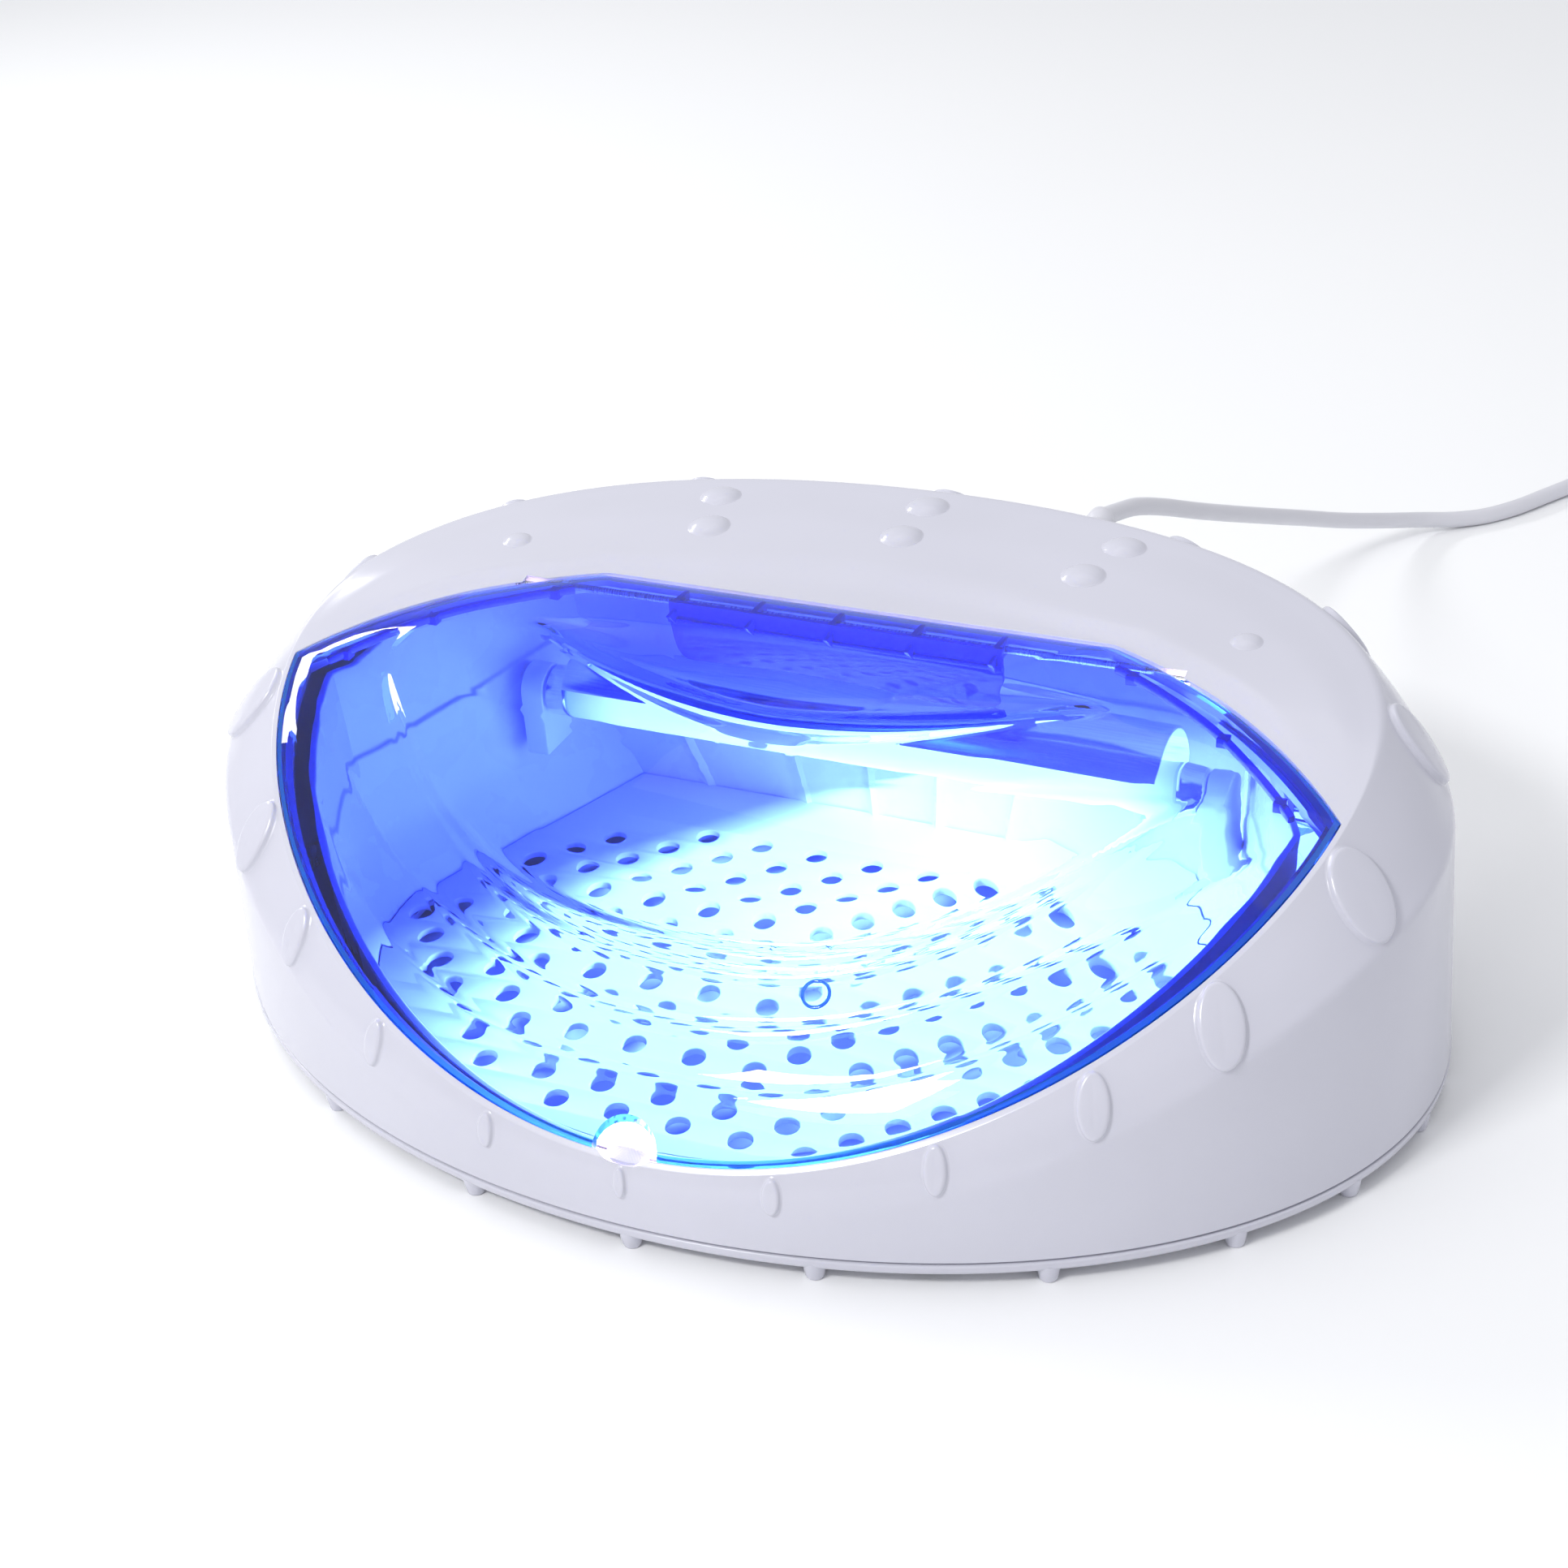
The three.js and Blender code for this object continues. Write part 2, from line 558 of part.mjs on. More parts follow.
// A bent sheet over and behind the tube.
function reflector() {
  const radius = 17;
  const sheet = 0.8;
  const from = THREE.MathUtils.degToRad(-50);
  const to = THREE.MathUtils.degToRad(150);
  const shape = new THREE.Shape();
  const arc = (r, reversed) => {
    const count = 12;
    for (let k = 0; k <= count; k++) {
      const share = reversed ? 1 - k / count : k / count;
      const angle = from + (to - from) * share;
      const p = [LAMP_Y + 1 + r * Math.cos(angle), LAMP_Z + r * Math.sin(angle)];
      if (!reversed && k === 0) shape.moveTo(...p);
      else shape.lineTo(...p);
    }
  };
  arc(radius, false);
  arc(radius + sheet, true);
  const half = 95;
  // The profile is drawn in Y and Z and is extruded along X.
  const turnToX = new THREE.Matrix4().makeBasis(
    new THREE.Vector3(0, 1, 0),
    new THREE.Vector3(0, 0, 1),
    new THREE.Vector3(1, 0, 0)
  );
  return new THREE.ExtrudeGeometry(shape, { depth: 2 * half, bevelEnabled: false })
    .applyMatrix4(turnToX)
    .translate(-half, 0, 0);
}
addPart("lamp_reflector", reflector(), aluminium);

// ---------------------------------------------------------------- control gear behind the tub
const GEAR_Z = PAN_TOP + GAP;
addPart("ballast_core", box(-78, -14, 80, 104, GEAR_Z, 35), steel);
addPart("ballast_winding", box(-70, -22, 84, 100, 35.4, 43), copperRed);
addPart("starter_socket", box(72, 78, 84, 102, GEAR_Z, 32), whiteInner);
addPart("starter", rodX(10.5, 34, 71.6, 92, 19, 16), whiteInner);
addPart("terminal_block", box(-4, 24, 96, 112, GEAR_Z, 20), darkPlastic);

const leads = {
  lamp_lead_left: [[-84, 92, 24], [-110, 92, 24], [-128, 74, 40], [-134, 52, 58], [-124, 42, 59]],
  lamp_lead_right: [[78.6, 93, 20], [110, 86, 24], [132, 70, 40], [136, 52, 58], [124, 42, 59]],
  switch_lead: [
    [25, 104, 13],
    [60, 109, 28],
    [108, 92, 34],
    [148, 60, 34],
    [165, 20, 36],
    [168, -10, 46],
    [161, -24, 64],
  ],
};
const leadPoints = (list) => list.map((p) => new THREE.Vector3(...p));
for (const [name, list] of Object.entries(leads)) {
  addPart(name, tubeAlong(leadPoints(list), 1.1, 14, 6), leadBlue);
}

// ---------------------------------------------------------------- lid interlock switch
const SEAT_AT_PLUNGER = topSurface(PLUNGER.y) - LID_SKIRT;
const PLUNGER_TOP = SEAT_AT_PLUNGER - 1.3;
const SWITCH_TOP = 80;
addPart(
  "interlock_switch",
  toGeometry(
    toSolid(
      box(PLUNGER.x - 3.2, PLUNGER.x + 3.2, PLUNGER.y - 10, PLUNGER.y + 10, SWITCH_TOP - 12, SWITCH_TOP)
    ).subtract(toSolid(rodZ(1.7, 1.7, PLUNGER.x, PLUNGER.y, SWITCH_TOP - 5, SWITCH_TOP + 1, 10)))
  ),
  darkPlastic
);
addPart(
  "switch_plunger",
  rodZ(1.2, 1.2, PLUNGER.x, PLUNGER.y, SWITCH_TOP - 2.4, PLUNGER_TOP, 10),
  copperRed
);

// ---------------------------------------------------------------- mains cord
const sleeveProfile = [
  [0, 113.6],
  [6.8, 113.6],
  [6.8, 116],
  [SLEEVE_R, 116],
  [SLEEVE_R, 131],
  [4.6, 133],
  [3.9, 145],
  [4.6, 146],
  [4.6, 150],
  [3.7, 150.8],
  [0, 150.8],
].map(([r, y]) => new THREE.Vector2(r, y));
addPart(
  "strain_relief",
  new THREE.LatheGeometry(sleeveProfile, 14).translate(EXIT.x, 0, EXIT.z),
  cordWhite
);

// The route on the bench, up to the coil.
const COIL_CENTRE = new THREE.Vector2(198.7, 414.4);
const COIL_R_OUT = 36; // centre of the outer turns
const COIL_R_IN = 29.8;
const COIL_HEIGHT = 24.6;
const cordRoute = [
  [EXIT.x, EXIT.y, EXIT.z],
  [39, 161, 86],
  [41, 176, 81.4],
  [44, 196, 72.4],
  [48.5, 217, 62],
  [54, 240, 51],
  [60.5, 263, 40.3],
  [68, 286, 29.8],
  [77, 308, 19.8],
  [87.5, 328, 11.8],
  [98.5, 343.5, 6.4],
  [109.5, 352.5, 3.8],
  [120, 360.5, 3],
  [129.5, 371, 3],
  [137.4, 383, 3],
  [144.7, 394.3, 3],
  [150.5, 404, 3],
  [156.2, 413.4, 3],
].map((p) => new THREE.Vector3(...p));
addPart("power_cord", tubeAlong(cordRoute, CORD_R, 26, 8), cordWhite);

const coilProfile = [
  [COIL_R_IN - CORD_R, 0],
  [COIL_R_OUT + CORD_R, 0],
  [COIL_R_OUT + CORD_R, COIL_HEIGHT],
  [COIL_R_IN - CORD_R, COIL_HEIGHT],
  [COIL_R_IN - CORD_R, 0],
].map(([r, z]) => new THREE.Vector2(r, z));
addPart(
  "cord_coil",
  new THREE.LatheGeometry(coilProfile, 32)
    .rotateX(HALF_TURN)
    .translate(COIL_CENTRE.x, COIL_CENTRE.y, 0),
  cordWhite
);

const PLUG_X = COIL_CENTRE.x + COIL_R_OUT + 1;
const PLUG_REAR = 342;
const tailRoute = [
  [PLUG_X - 0.4, 391.5, 18.6],
  [PLUG_X, 382, 15.4],
  [PLUG_X, 372, 11.8],
  [PLUG_X, 362, 9],
  [PLUG_X, 352, 7.4],
  [PLUG_X, PLUG_REAR + 0.4, 7],
].map((p) => new THREE.Vector3(...p));
addPart("cord_tail", tubeAlong(tailRoute, CORD_R, 6, 8), cordWhite);

const plugOutline = [
  [-5, 0],
  [-17.5, -14],
  [-17.5, -24],
  [-12.5, -35],
  [12.5, -35],
  [17.5, -24],
  [17.5, -14],
  [5, 0],
].map(([x, y]) => new THREE.Vector2(PLUG_X + x, PLUG_REAR + y));
addPart(
  "plug_body",
  new THREE.ExtrudeGeometry(new THREE.Shape(plugOutline), { depth: 13.7, bevelEnabled: false }).translate(
    0,
    0,
    0.2
  ),
  cordWhite
);
for (const [name, side] of [["plug_pin_left", -1], ["plug_pin_right", 1]]) {
  const front = PLUG_REAR - 35;
  addPart(name, rodY(2, PLUG_X + side * 9.3, front - 19, front - 0.3, 7), steel);
}

export default model;
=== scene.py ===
"""UV curing cabinet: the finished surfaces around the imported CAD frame.

Shapes are worked out in millimetres and become metres when a mesh is made.
+Z is up, the front is towards -Y, and the origin is on the bench under the body.
"""

import math

import bmesh
import bpy
import numpy as np
from mathutils import Matrix, Vector
from mathutils.bvhtree import BVHTree


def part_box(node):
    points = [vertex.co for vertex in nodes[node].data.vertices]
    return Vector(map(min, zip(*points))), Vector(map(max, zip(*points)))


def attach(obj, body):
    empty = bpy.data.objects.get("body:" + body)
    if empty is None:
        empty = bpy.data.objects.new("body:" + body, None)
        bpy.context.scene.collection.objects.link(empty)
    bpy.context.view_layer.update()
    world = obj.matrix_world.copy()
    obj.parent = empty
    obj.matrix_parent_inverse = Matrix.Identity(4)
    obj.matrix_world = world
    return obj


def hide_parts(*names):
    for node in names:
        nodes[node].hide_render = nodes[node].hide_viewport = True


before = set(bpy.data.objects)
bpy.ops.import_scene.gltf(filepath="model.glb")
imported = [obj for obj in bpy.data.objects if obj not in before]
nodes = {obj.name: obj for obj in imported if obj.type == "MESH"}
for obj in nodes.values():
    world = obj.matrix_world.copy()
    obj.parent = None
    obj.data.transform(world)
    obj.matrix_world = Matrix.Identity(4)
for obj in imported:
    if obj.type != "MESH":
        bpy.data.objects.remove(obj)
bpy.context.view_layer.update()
scene = bpy.context.scene
MM = 0.001

# ---- driving dimensions, mm
HALF_WIDTH = 185
HALF_DEPTH = 129.4
WALL_LEAN = 0.037
SKIN = 2.5
HOUSING_FOOT = 8.3
PAN_BOTTOM = 4
PAN_TOP = 6.5
GAP = 0.4
LID_HALF_WIDTH = 160.03
LID_FRONT = 125
CORNER_Y = -17.8
HINGE_END = np.array([80.4, 35.6])
SIDE_ARC_PULL = np.array([125.6, 17.1])
LIP = 1.5
CROWN_REAR = 109
LID_THICKNESS = 2.6
LID_SKIRT = 3.9
LEDGE_DEPTH = 4.5
LEDGE_WIDTH = 5
HINGE_LIP_GAP = 1.4  # between the lid's rear edge and the crown
HINGE_LIP_BLEND = 1.8  # how soon the side arcs widen to that gap
HINGE_Y = 27.5
HINGE_Z = 105.2
ROD_R = 1
ROD_HALF = 112
FLOOR_CENTRE_Y = -20
TRAY_BOTTOM = 14.7
TRAY_THICKNESS = 2
TUBE_R = 8
LAMP_HALF = 106
LAMP_Y = 41
LAMP_Z = 61
PIN_SPREAD = 2.38
PIN_REACH = 6.2
PLUNGER_AT = (154.3, -24, 0)
CORD_R = 3
EXIT = np.array([38, 152, 88.5])  # where the cord leaves its sleeve
SIDES = (("left", -1), ("right", 1))


# ---- camera
def make_camera():
    camera = bpy.data.objects.new("camera", bpy.data.cameras.new("camera"))
    scene.collection.objects.link(camera)
    camera.data.sensor_width = 36
    camera.data.lens = 61.98
    camera.data.clip_start = 0.02
    right = Vector((0.90793, 0.41276, -0.07276))
    up = Vector((-0.15640, 0.49472, 0.85486))
    back = right.cross(up)
    turn = Matrix((right, up, back)).transposed().to_4x4()
    camera.matrix_world = Matrix.Translation((0.29471, -0.59491, 0.46734)) @ turn
    scene.camera = camera


make_camera()


# ---- materials
class Look:
    """A material with one Principled shader and a few helpers for its procedural inputs."""

    def __init__(self, name, color, roughness, metallic=0.0, **sockets):
        self.material = bpy.data.materials.new(name)
        self.material.use_nodes = True
        self.tree = self.material.node_tree
        self.shader = self.tree.nodes["Principled BSDF"]
        self.shader.inputs["Base Color"].default_value = (*color, 1)
        self.shader.inputs["Roughness"].default_value = roughness
        self.shader.inputs["Metallic"].default_value = metallic
        for socket, value in sockets.items():
            self.shader.inputs[socket.replace("_", " ")].default_value = value
        self.place = self.tree.nodes.new("ShaderNodeTexCoord").outputs["Object"]
        self.color = color

    def node(self, kind, **settings):
        made = self.tree.nodes.new(kind)
        for key, value in settings.items():
            if hasattr(made, key):
                setattr(made, key, value)
            else:
                made.inputs[key.replace("_", " ")].default_value = value
        return made

    def stretched(self, factors):
        mapping = self.node("ShaderNodeMapping")
        mapping.inputs["Scale"].default_value = factors
        self.tree.links.new(self.place, mapping.inputs["Vector"])
        return mapping.outputs["Vector"]

    def noise(self, scale, detail=3.0, vector=None):
        made = self.node("ShaderNodeTexNoise", Scale=scale, Detail=detail)
        self.tree.links.new(vector or self.place, made.inputs["Vector"])
        return made.outputs["Fac"]

    def tinted(self, factor, low, high):
        """Base colour that runs between low and high times the base colour."""
        ramp = self.node("ShaderNodeValToRGB")
        for stop, share, place in ((0, low, 0.3), (1, high, 0.7)):
            element = ramp.color_ramp.elements[stop]
            element.position = place
            element.color = (*[min(c * share, 1) for c in self.color], 1)
        self.tree.links.new(factor, ramp.inputs["Fac"])
        self.tree.links.new(ramp.outputs["Color"], self.shader.inputs["Base Color"])

    def rough(self, factor, low, high):
        spread = self.node("ShaderNodeMapRange")
        spread.inputs["To Min"].default_value = low
        spread.inputs["To Max"].default_value = high
        self.tree.links.new(factor, spread.inputs["Value"])
        self.tree.links.new(spread.outputs["Result"], self.shader.inputs["Roughness"])

    def bumped(self, height, strength, distance):
        bump = self.node("ShaderNodeBump", Strength=strength, Distance=distance)
        self.tree.links.new(height, bump.inputs["Height"])
        self.tree.links.new(bump.outputs["Normal"], self.shader.inputs["Normal"])


def moulded(name, color, roughness, grain=900, strength=0.06, **sockets):
    """Injection-moulded plastic: faint flow in the colour, uneven gloss and a fine skin."""
    look = Look(name, color, roughness, **sockets)
    look.tinted(look.noise(14, 4), 0.975, 1.02)
    look.rough(look.noise(60, 5), roughness - 0.035, roughness + 0.045)
    look.bumped(look.noise(grain, 2), strength, 0.00004)
    return look.material


def acrylic(name, color, roughness, transmission):
    look = Look(name, color, roughness, IOR=1.49, Transmission_Weight=transmission)
    look.rough(look.noise(45, 4), roughness, roughness + 0.025)
    look.bumped(look.noise(26, 2), 0.05, 0.0004)
    return look.material


def brushed(name, color, roughness, along, bump=0.12):
    look = Look(name, color, roughness, metallic=1.0)
    streaks = look.noise(70, 6, look.stretched(along))
    look.tinted(streaks, 0.86, 1.06)
    look.rough(streaks, roughness - 0.08, roughness + 0.12)
    look.bumped(streaks, bump, 0.00005)
    return look.material


def lit_tube():
    look = Look("lit_tube", (0.9, 0.93, 1.0), 0.3, Emission_Strength=8.0)
    apart = look.node("ShaderNodeSeparateXYZ")
    look.tree.links.new(look.place, apart.inputs["Vector"])
    away = look.node("ShaderNodeMath", operation="ABSOLUTE")
    look.tree.links.new(apart.outputs["X"], away.inputs[0])
    ramp = look.node("ShaderNodeValToRGB")
    look.tree.links.new(away.outputs["Value"], ramp.inputs["Fac"])
    ramp.color_ramp.elements[0].position = 0.080
    ramp.color_ramp.elements[0].color = (1.0, 0.7, 0.9, 1)
    ramp.color_ramp.elements[1].position = 0.0975
    ramp.color_ramp.elements[1].color = (0.1, 0.12, 0.4, 1)
    look.tree.links.new(ramp.outputs["Color"], look.shader.inputs["Emission Color"])
    return look.material


def laminated():
    look = Look("steel_laminations", (0.33, 0.34, 0.36), 0.45, metallic=0.9)
    wave = look.node("ShaderNodeTexWave", Scale=320.0, Distortion=0.4)
    look.tree.links.new(look.place, wave.inputs["Vector"])
    look.tinted(wave.outputs["Fac"], 0.7, 1.1)
    look.rough(look.noise(300), 0.38, 0.6)
    look.bumped(wave.outputs["Fac"], 0.5, 0.0001)
    return look.material


def wound():
    look = Look("varnished_winding", (0.42, 0.13, 0.06), 0.35)
    wave = look.node("ShaderNodeTexWave", bands_direction="Z", Scale=260.0, Distortion=0.8)
    look.tree.links.new(look.place, wave.inputs["Vector"])
    look.tinted(wave.outputs["Fac"], 0.6, 1.3)
    look.bumped(wave.outputs["Fac"], 0.6, 0.0002)
    return look.material


SHELL = moulded("shell_plastic", (0.60, 0.60, 0.68), 0.18, Specular_IOR_Level=0.6)
INNER = moulded("inner_plastic", (0.60, 0.60, 0.66), 0.27)
TRAY = moulded("tray_plastic", (0.62, 0.62, 0.66), 0.3)
FITTING = moulded("fitting_plastic", (0.78, 0.79, 0.84), 0.38, grain=1500)
CORD = moulded("cord_pvc", (0.66, 0.66, 0.71), 0.33, grain=2200, strength=0.12)
DARK = moulded("dark_plastic", (0.022, 0.023, 0.028), 0.45, grain=2500, strength=0.2)
LEAD = moulded("lead_insulation", (0.03, 0.09, 0.36), 0.4, grain=3000)
PLUNGER = moulded("plunger_plastic", (0.5, 0.05, 0.03), 0.35)
CLEAR_BLUE = acrylic("clear_blue_acrylic", (0.055, 0.15, 1.0), 0.0, 1.0)
EDGE_BLUE = acrylic("rim_blue_acrylic", (0.01, 0.17, 0.66), 0.04, 0.55)
DEEP_BLUE = acrylic("deep_blue_acrylic", (0.02, 0.025, 0.62), 0.03, 0.45)
STEEL = brushed("plated_steel", (0.62, 0.63, 0.66), 0.26, (40, 1, 1))
BRIGHT_SHEET = brushed("rolled_aluminium", (0.88, 0.89, 0.91), 0.16, (1, 30, 30), bump=0.06)
NICKEL = brushed("nickel_pins", (0.72, 0.70, 0.66), 0.22, (1, 40, 1))
LIT = lit_tube()
CORE = laminated()
WINDING = wound()


# ---- mesh helpers
def as_object(name, points, faces, material, extra_materials=()):
    """An object from points in millimetres."""
    mesh = bpy.data.meshes.new(name)
    scaled = (np.asarray(points, float) * MM).tolist()
    mesh.from_pydata(scaled, [], [tuple(f) for f in faces])
    mesh.update()
    for one in (material, *extra_materials):
        mesh.materials.append(one)
    made = bpy.data.objects.new(name, mesh)
    scene.collection.objects.link(made)
    return made


def shaded(made, sharp_degrees=35.0):
    mesh = made.data
    mesh.polygons.foreach_set("use_smooth", [True] * len(mesh.polygons))
    mesh.set_sharp_from_angle(angle=math.radians(sharp_degrees))
    return made


def placed(made, body, replaces=()):
    """Puts a piece on its body, in place of the CAD nodes that it stands for."""
    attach(made, body)
    if replaces:
        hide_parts(*replaces)
    return made


def skin_faces(count, around, loop):
    rows = np.arange(count if loop else count - 1)[:, None]
    columns = np.arange(around)[None, :]
    low, high = rows * around, ((rows + 1) % count) * around
    after = (columns + 1) % around
    grid = np.stack([low + columns, low + after, high + after, high + columns], axis=-1)
    return grid.reshape(-1, 4)


def signed_volume(points, faces):
    a, b, c = (points[faces[:, k]] for k in range(3))
    total = np.einsum("ij,ij->i", a, np.cross(b, c)).sum()
    if faces.shape[1] == 4:
        d = points[faces[:, 3]]
        total += np.einsum("ij,ij->i", a, np.cross(c, d)).sum()
    return total


def skin(name, rows, material, poles=None, extra_materials=()):
    """Rows of points, each closed on itself; without poles the rows close on themselves too."""
    rows = np.asarray(rows, float)
    count, around, _ = rows.shape
    points = rows.reshape(-1, 3)
    quads = skin_faces(count, around, loop=poles is None)
    triangles = []
    if poles is not None:
        points = np.vstack([points, poles])
        first, last = len(points) - 2, len(points) - 1
        end = (count - 1) * around
        for c in range(around):
            d = (c + 1) % around
            triangles += [(first, d, c), (last, end + c, end + d)]
    if signed_volume(points, quads) < 0:
        quads = quads[:, ::-1]
        triangles = [t[::-1] for t in triangles]
    faces = quads.tolist() + triangles
    return as_object(name, points, faces, material, extra_materials)


def lathe(name, profile, axis, centre, material, sides=48):
    """Turns (radius, place along the axis) pairs; the profile starts and ends on the axis."""
    order = {"x": (1, 2, 0), "y": (2, 0, 1), "z": (0, 1, 2)}[axis]
    turns = full_turn(sides)

    def ring(radius, along):
        local = np.zeros((sides, 3))
        local[:, order[0]] = radius * np.cos(turns)
        local[:, order[1]] = radius * np.sin(turns)
        local[:, order[2]] = along
        return local + np.asarray(centre, float)

    rows = [ring(r, a) for r, a in profile[1:-1]]
    ends = [ring(0, profile[0][1])[0], ring(0, profile[-1][1])[0]]
    return skin(name, rows, material, poles=ends)


def prism(name, outline, low, high, plane, material):
    """A flat outline made thick. The plane's letters say which axes the outline holds."""
    axes = {"xy": (0, 1, 2), "xz": (0, 2, 1), "yz": (1, 2, 0)}[plane]
    count = len(outline)
    points = np.zeros((2 * count, 3))
    for half, level in ((0, low), (1, high)):
        part = slice(half * count, (half + 1) * count)
        points[part, axes[0]] = [p[0] for p in outline]
        points[part, axes[1]] = [p[1] for p in outline]
        points[part, axes[2]] = level
    faces = [tuple(range(count))[::-1], tuple(range(count, 2 * count))]
    faces += [(k, (k + 1) % count, count + (k + 1) % count, count + k) for k in range(count)]
    made = as_object(name, points, faces, material)
    fix_normals(made)
    return made


def fix_normals(made):
    work = bmesh.new()
    work.from_mesh(made.data)
    bmesh.ops.recalc_face_normals(work, faces=work.faces)
    work.to_mesh(made.data)
    work.free()


def box(name, x, y, z, material):
    outline = [(x[0], y[0]), (x[1], y[0]), (x[1], y[1]), (x[0], y[1])]
    return prism(name, outline, z[0], z[1], "xy", material)


def baked(made):
    """Applies the object's modifiers to its mesh."""
    shown = made.evaluated_get(bpy.context.evaluated_depsgraph_get())
    mesh = bpy.data.meshes.new_from_object(shown)
    made.modifiers.clear()
    made.data = mesh
    return made


def softened(made, width, segments=2, angle=35):
    edge = made.modifiers.new("edge", "BEVEL")
    edge.width = width * MM
    edge.segments = segments
    edge.limit_method = "ANGLE"
    edge.angle_limit = math.radians(angle)
    return baked(made)


def joined(name, parts):
    """One object that holds the meshes of several."""
    work = bmesh.new()
    for part in parts:
        work.from_mesh(part.data)
    mesh = bpy.data.meshes.new(name)
    work.to_mesh(mesh)
    work.free()
    for one in parts[0].data.materials:
        mesh.materials.append(one)
    for part in parts:
        bpy.data.objects.remove(part)
    made = bpy.data.objects.new(name, mesh)
    scene.collection.objects.link(made)
    return made


def cut(made, cutters):
    """Takes the cutters out of a piece, one after the other."""
    for cutter in cutters:
        change = made.modifiers.new("cut", "BOOLEAN")
        change.operation = "DIFFERENCE"
        change.solver = "EXACT"
        change.object = cutter
        bpy.context.view_layer.update()
        baked(made)
        bpy.data.objects.remove(cutter)
    return made


def unit(v):
    return v / max(np.linalg.norm(v), 1e-9)


def rounded(corners, rounds, spans, arc=4):
    """A closed line through corners, each rounded off over its own distance."""
    line, count = [], len(corners)
    starts, ends = [], []
    for k, corner in enumerate(corners):
        before, after = corners[k - 1] - corner, corners[(k + 1) % count] - corner
        reach = min(rounds[k], 0.49 * np.linalg.norm(before), 0.49 * np.linalg.norm(after))
        starts.append(corner + unit(before) * reach)
        ends.append(corner + unit(after) * reach)
    for k, corner in enumerate(corners):
        if rounds[k] == 0:
            line.append(corner)
        else:
            for t in np.linspace(0, 1, arc + 1):
                line.append(starts[k] * (1 - t) ** 2 + corner * 2 * t * (1 - t) + ends[k] * t * t)
        target = starts[(k + 1) % count]
        for t in np.linspace(0, 1, spans[k] + 1)[1:-1]:
            line.append(ends[k] * (1 - t) + target * t)
    return np.array(line)


def full_turn(count):
    return np.linspace(0, 2 * math.pi, count, endpoint=False)


def ease(value, low, high):
    """Runs smoothly from 0 at low to 1 at high."""
    t = np.clip((value - low) / (high - low), 0, 1)
    return t * t * (3 - 2 * t)


# ---- shared surfaces
def top_surface(y):
    q = np.minimum(y, HINGE_END[1])
    return 101.94 + 0.25306 * q - 0.002644 * q * q + 0.065 * np.maximum(y - HINGE_END[1], 0)


def wall_top(y):
    reach = abs(y) / 129
    return 78 - 61 * reach**2.1 if y < 0 else 78 + 15 * reach**1.5


CORNER_ANGLE = math.asin(CORNER_Y / LID_FRONT)
QUARTER = math.pi / 2
FRONT_END, SIDE_END, HALF_END = 16, 24, 32


def stations(front, side, hinge):
    """Places round the right half: 0 at the front, 16 at the lid's corner, 32 at the back."""
    return np.concatenate([
        np.linspace(0, FRONT_END, front, endpoint=False),
        np.linspace(FRONT_END, SIDE_END, side, endpoint=False),
        np.linspace(SIDE_END, HALF_END, hinge + 1),
    ])


class Station:
    """A place round the right half, with its angle and how far to the rear it is."""

    def __init__(self, k):
        self.k = k
        if k <= FRONT_END:
            self.rear = 0.0
            self.angle = -QUARTER + (QUARTER + CORNER_ANGLE) * k / FRONT_END
        else:
            self.rear = (k - FRONT_END) / (HALF_END - FRONT_END)
            self.angle = CORNER_ANGLE + (QUARTER - CORNER_ANGLE) * self.rear


def all_round(lines):
    """Adds the mirrored left half to the lines of the right half; gives rows of points."""
    right = np.array(lines)
    left = right[1:-1][::-1] * np.array([-1, 1, 1])
    return np.concatenate([right, left]).transpose(1, 0, 2)


def opening(s, offset, hinge_offset=None):
    """The outline of the lid's opening, moved out by the offset."""
    hinge_offset = offset if hinge_offset is None else hinge_offset
    if s.k <= FRONT_END:
        x = (LID_HALF_WIDTH + offset) * math.cos(s.angle)
        return np.array([max(x, 0), (LID_FRONT + offset) * math.sin(s.angle)])
    if s.k <= SIDE_END:
        t = (s.k - FRONT_END) / (SIDE_END - FRONT_END)
        corner = np.array([LID_HALF_WIDTH * math.cos(CORNER_ANGLE), CORNER_Y])
        place = corner * (1 - t) ** 2 + SIDE_ARC_PULL * 2 * t * (1 - t) + HINGE_END * t * t
        out = offset + (hinge_offset - offset) * min(1, HINGE_LIP_BLEND * t)
        return place + np.array([0.55 * (1 - t), 0.83]) * out
    t = (s.k - SIDE_END) / (HALF_END - SIDE_END)
    return np.array([HINGE_END[0] * (1 - t), HINGE_END[1] + hinge_offset])


def wall_point(angle, z, inset=0.0):
    """A point of the leaning oval wall."""
    lean = WALL_LEAN * z + inset
    return np.array([
        (HALF_WIDTH - lean) * math.cos(angle),
        (HALF_DEPTH - lean) * math.sin(angle),
        z,
    ])


def rim_plan(s, inset=0.0):
    """Where the band meets the crown, seen from above."""
    blend = s.rear * s.rear * (3 - 2 * s.rear)
    depth = LID_FRONT + LIP + (CROWN_REAR - LID_FRONT - LIP) * blend - inset
    x = (LID_HALF_WIDTH + LIP - inset) * math.cos(s.angle)
    return np.array([x, depth * math.sin(s.angle)])


def lifted(plan, z):
    return np.array([plan[0], plan[1], z])


def towards(plan, distance):
    """Moves a point of a plan in towards the middle of the tray."""
    return plan + unit(np.array([-plan[0], FLOOR_CENTRE_Y - plan[1]])) * distance


# ---- housing
CROWN_CREASE_Y = 59  # the soft ridge across the crown, at its middle
CROWN_CREASE_BOW = 0.0025
CROWN_RISE = 1.8
CROWN_ROWS = 26


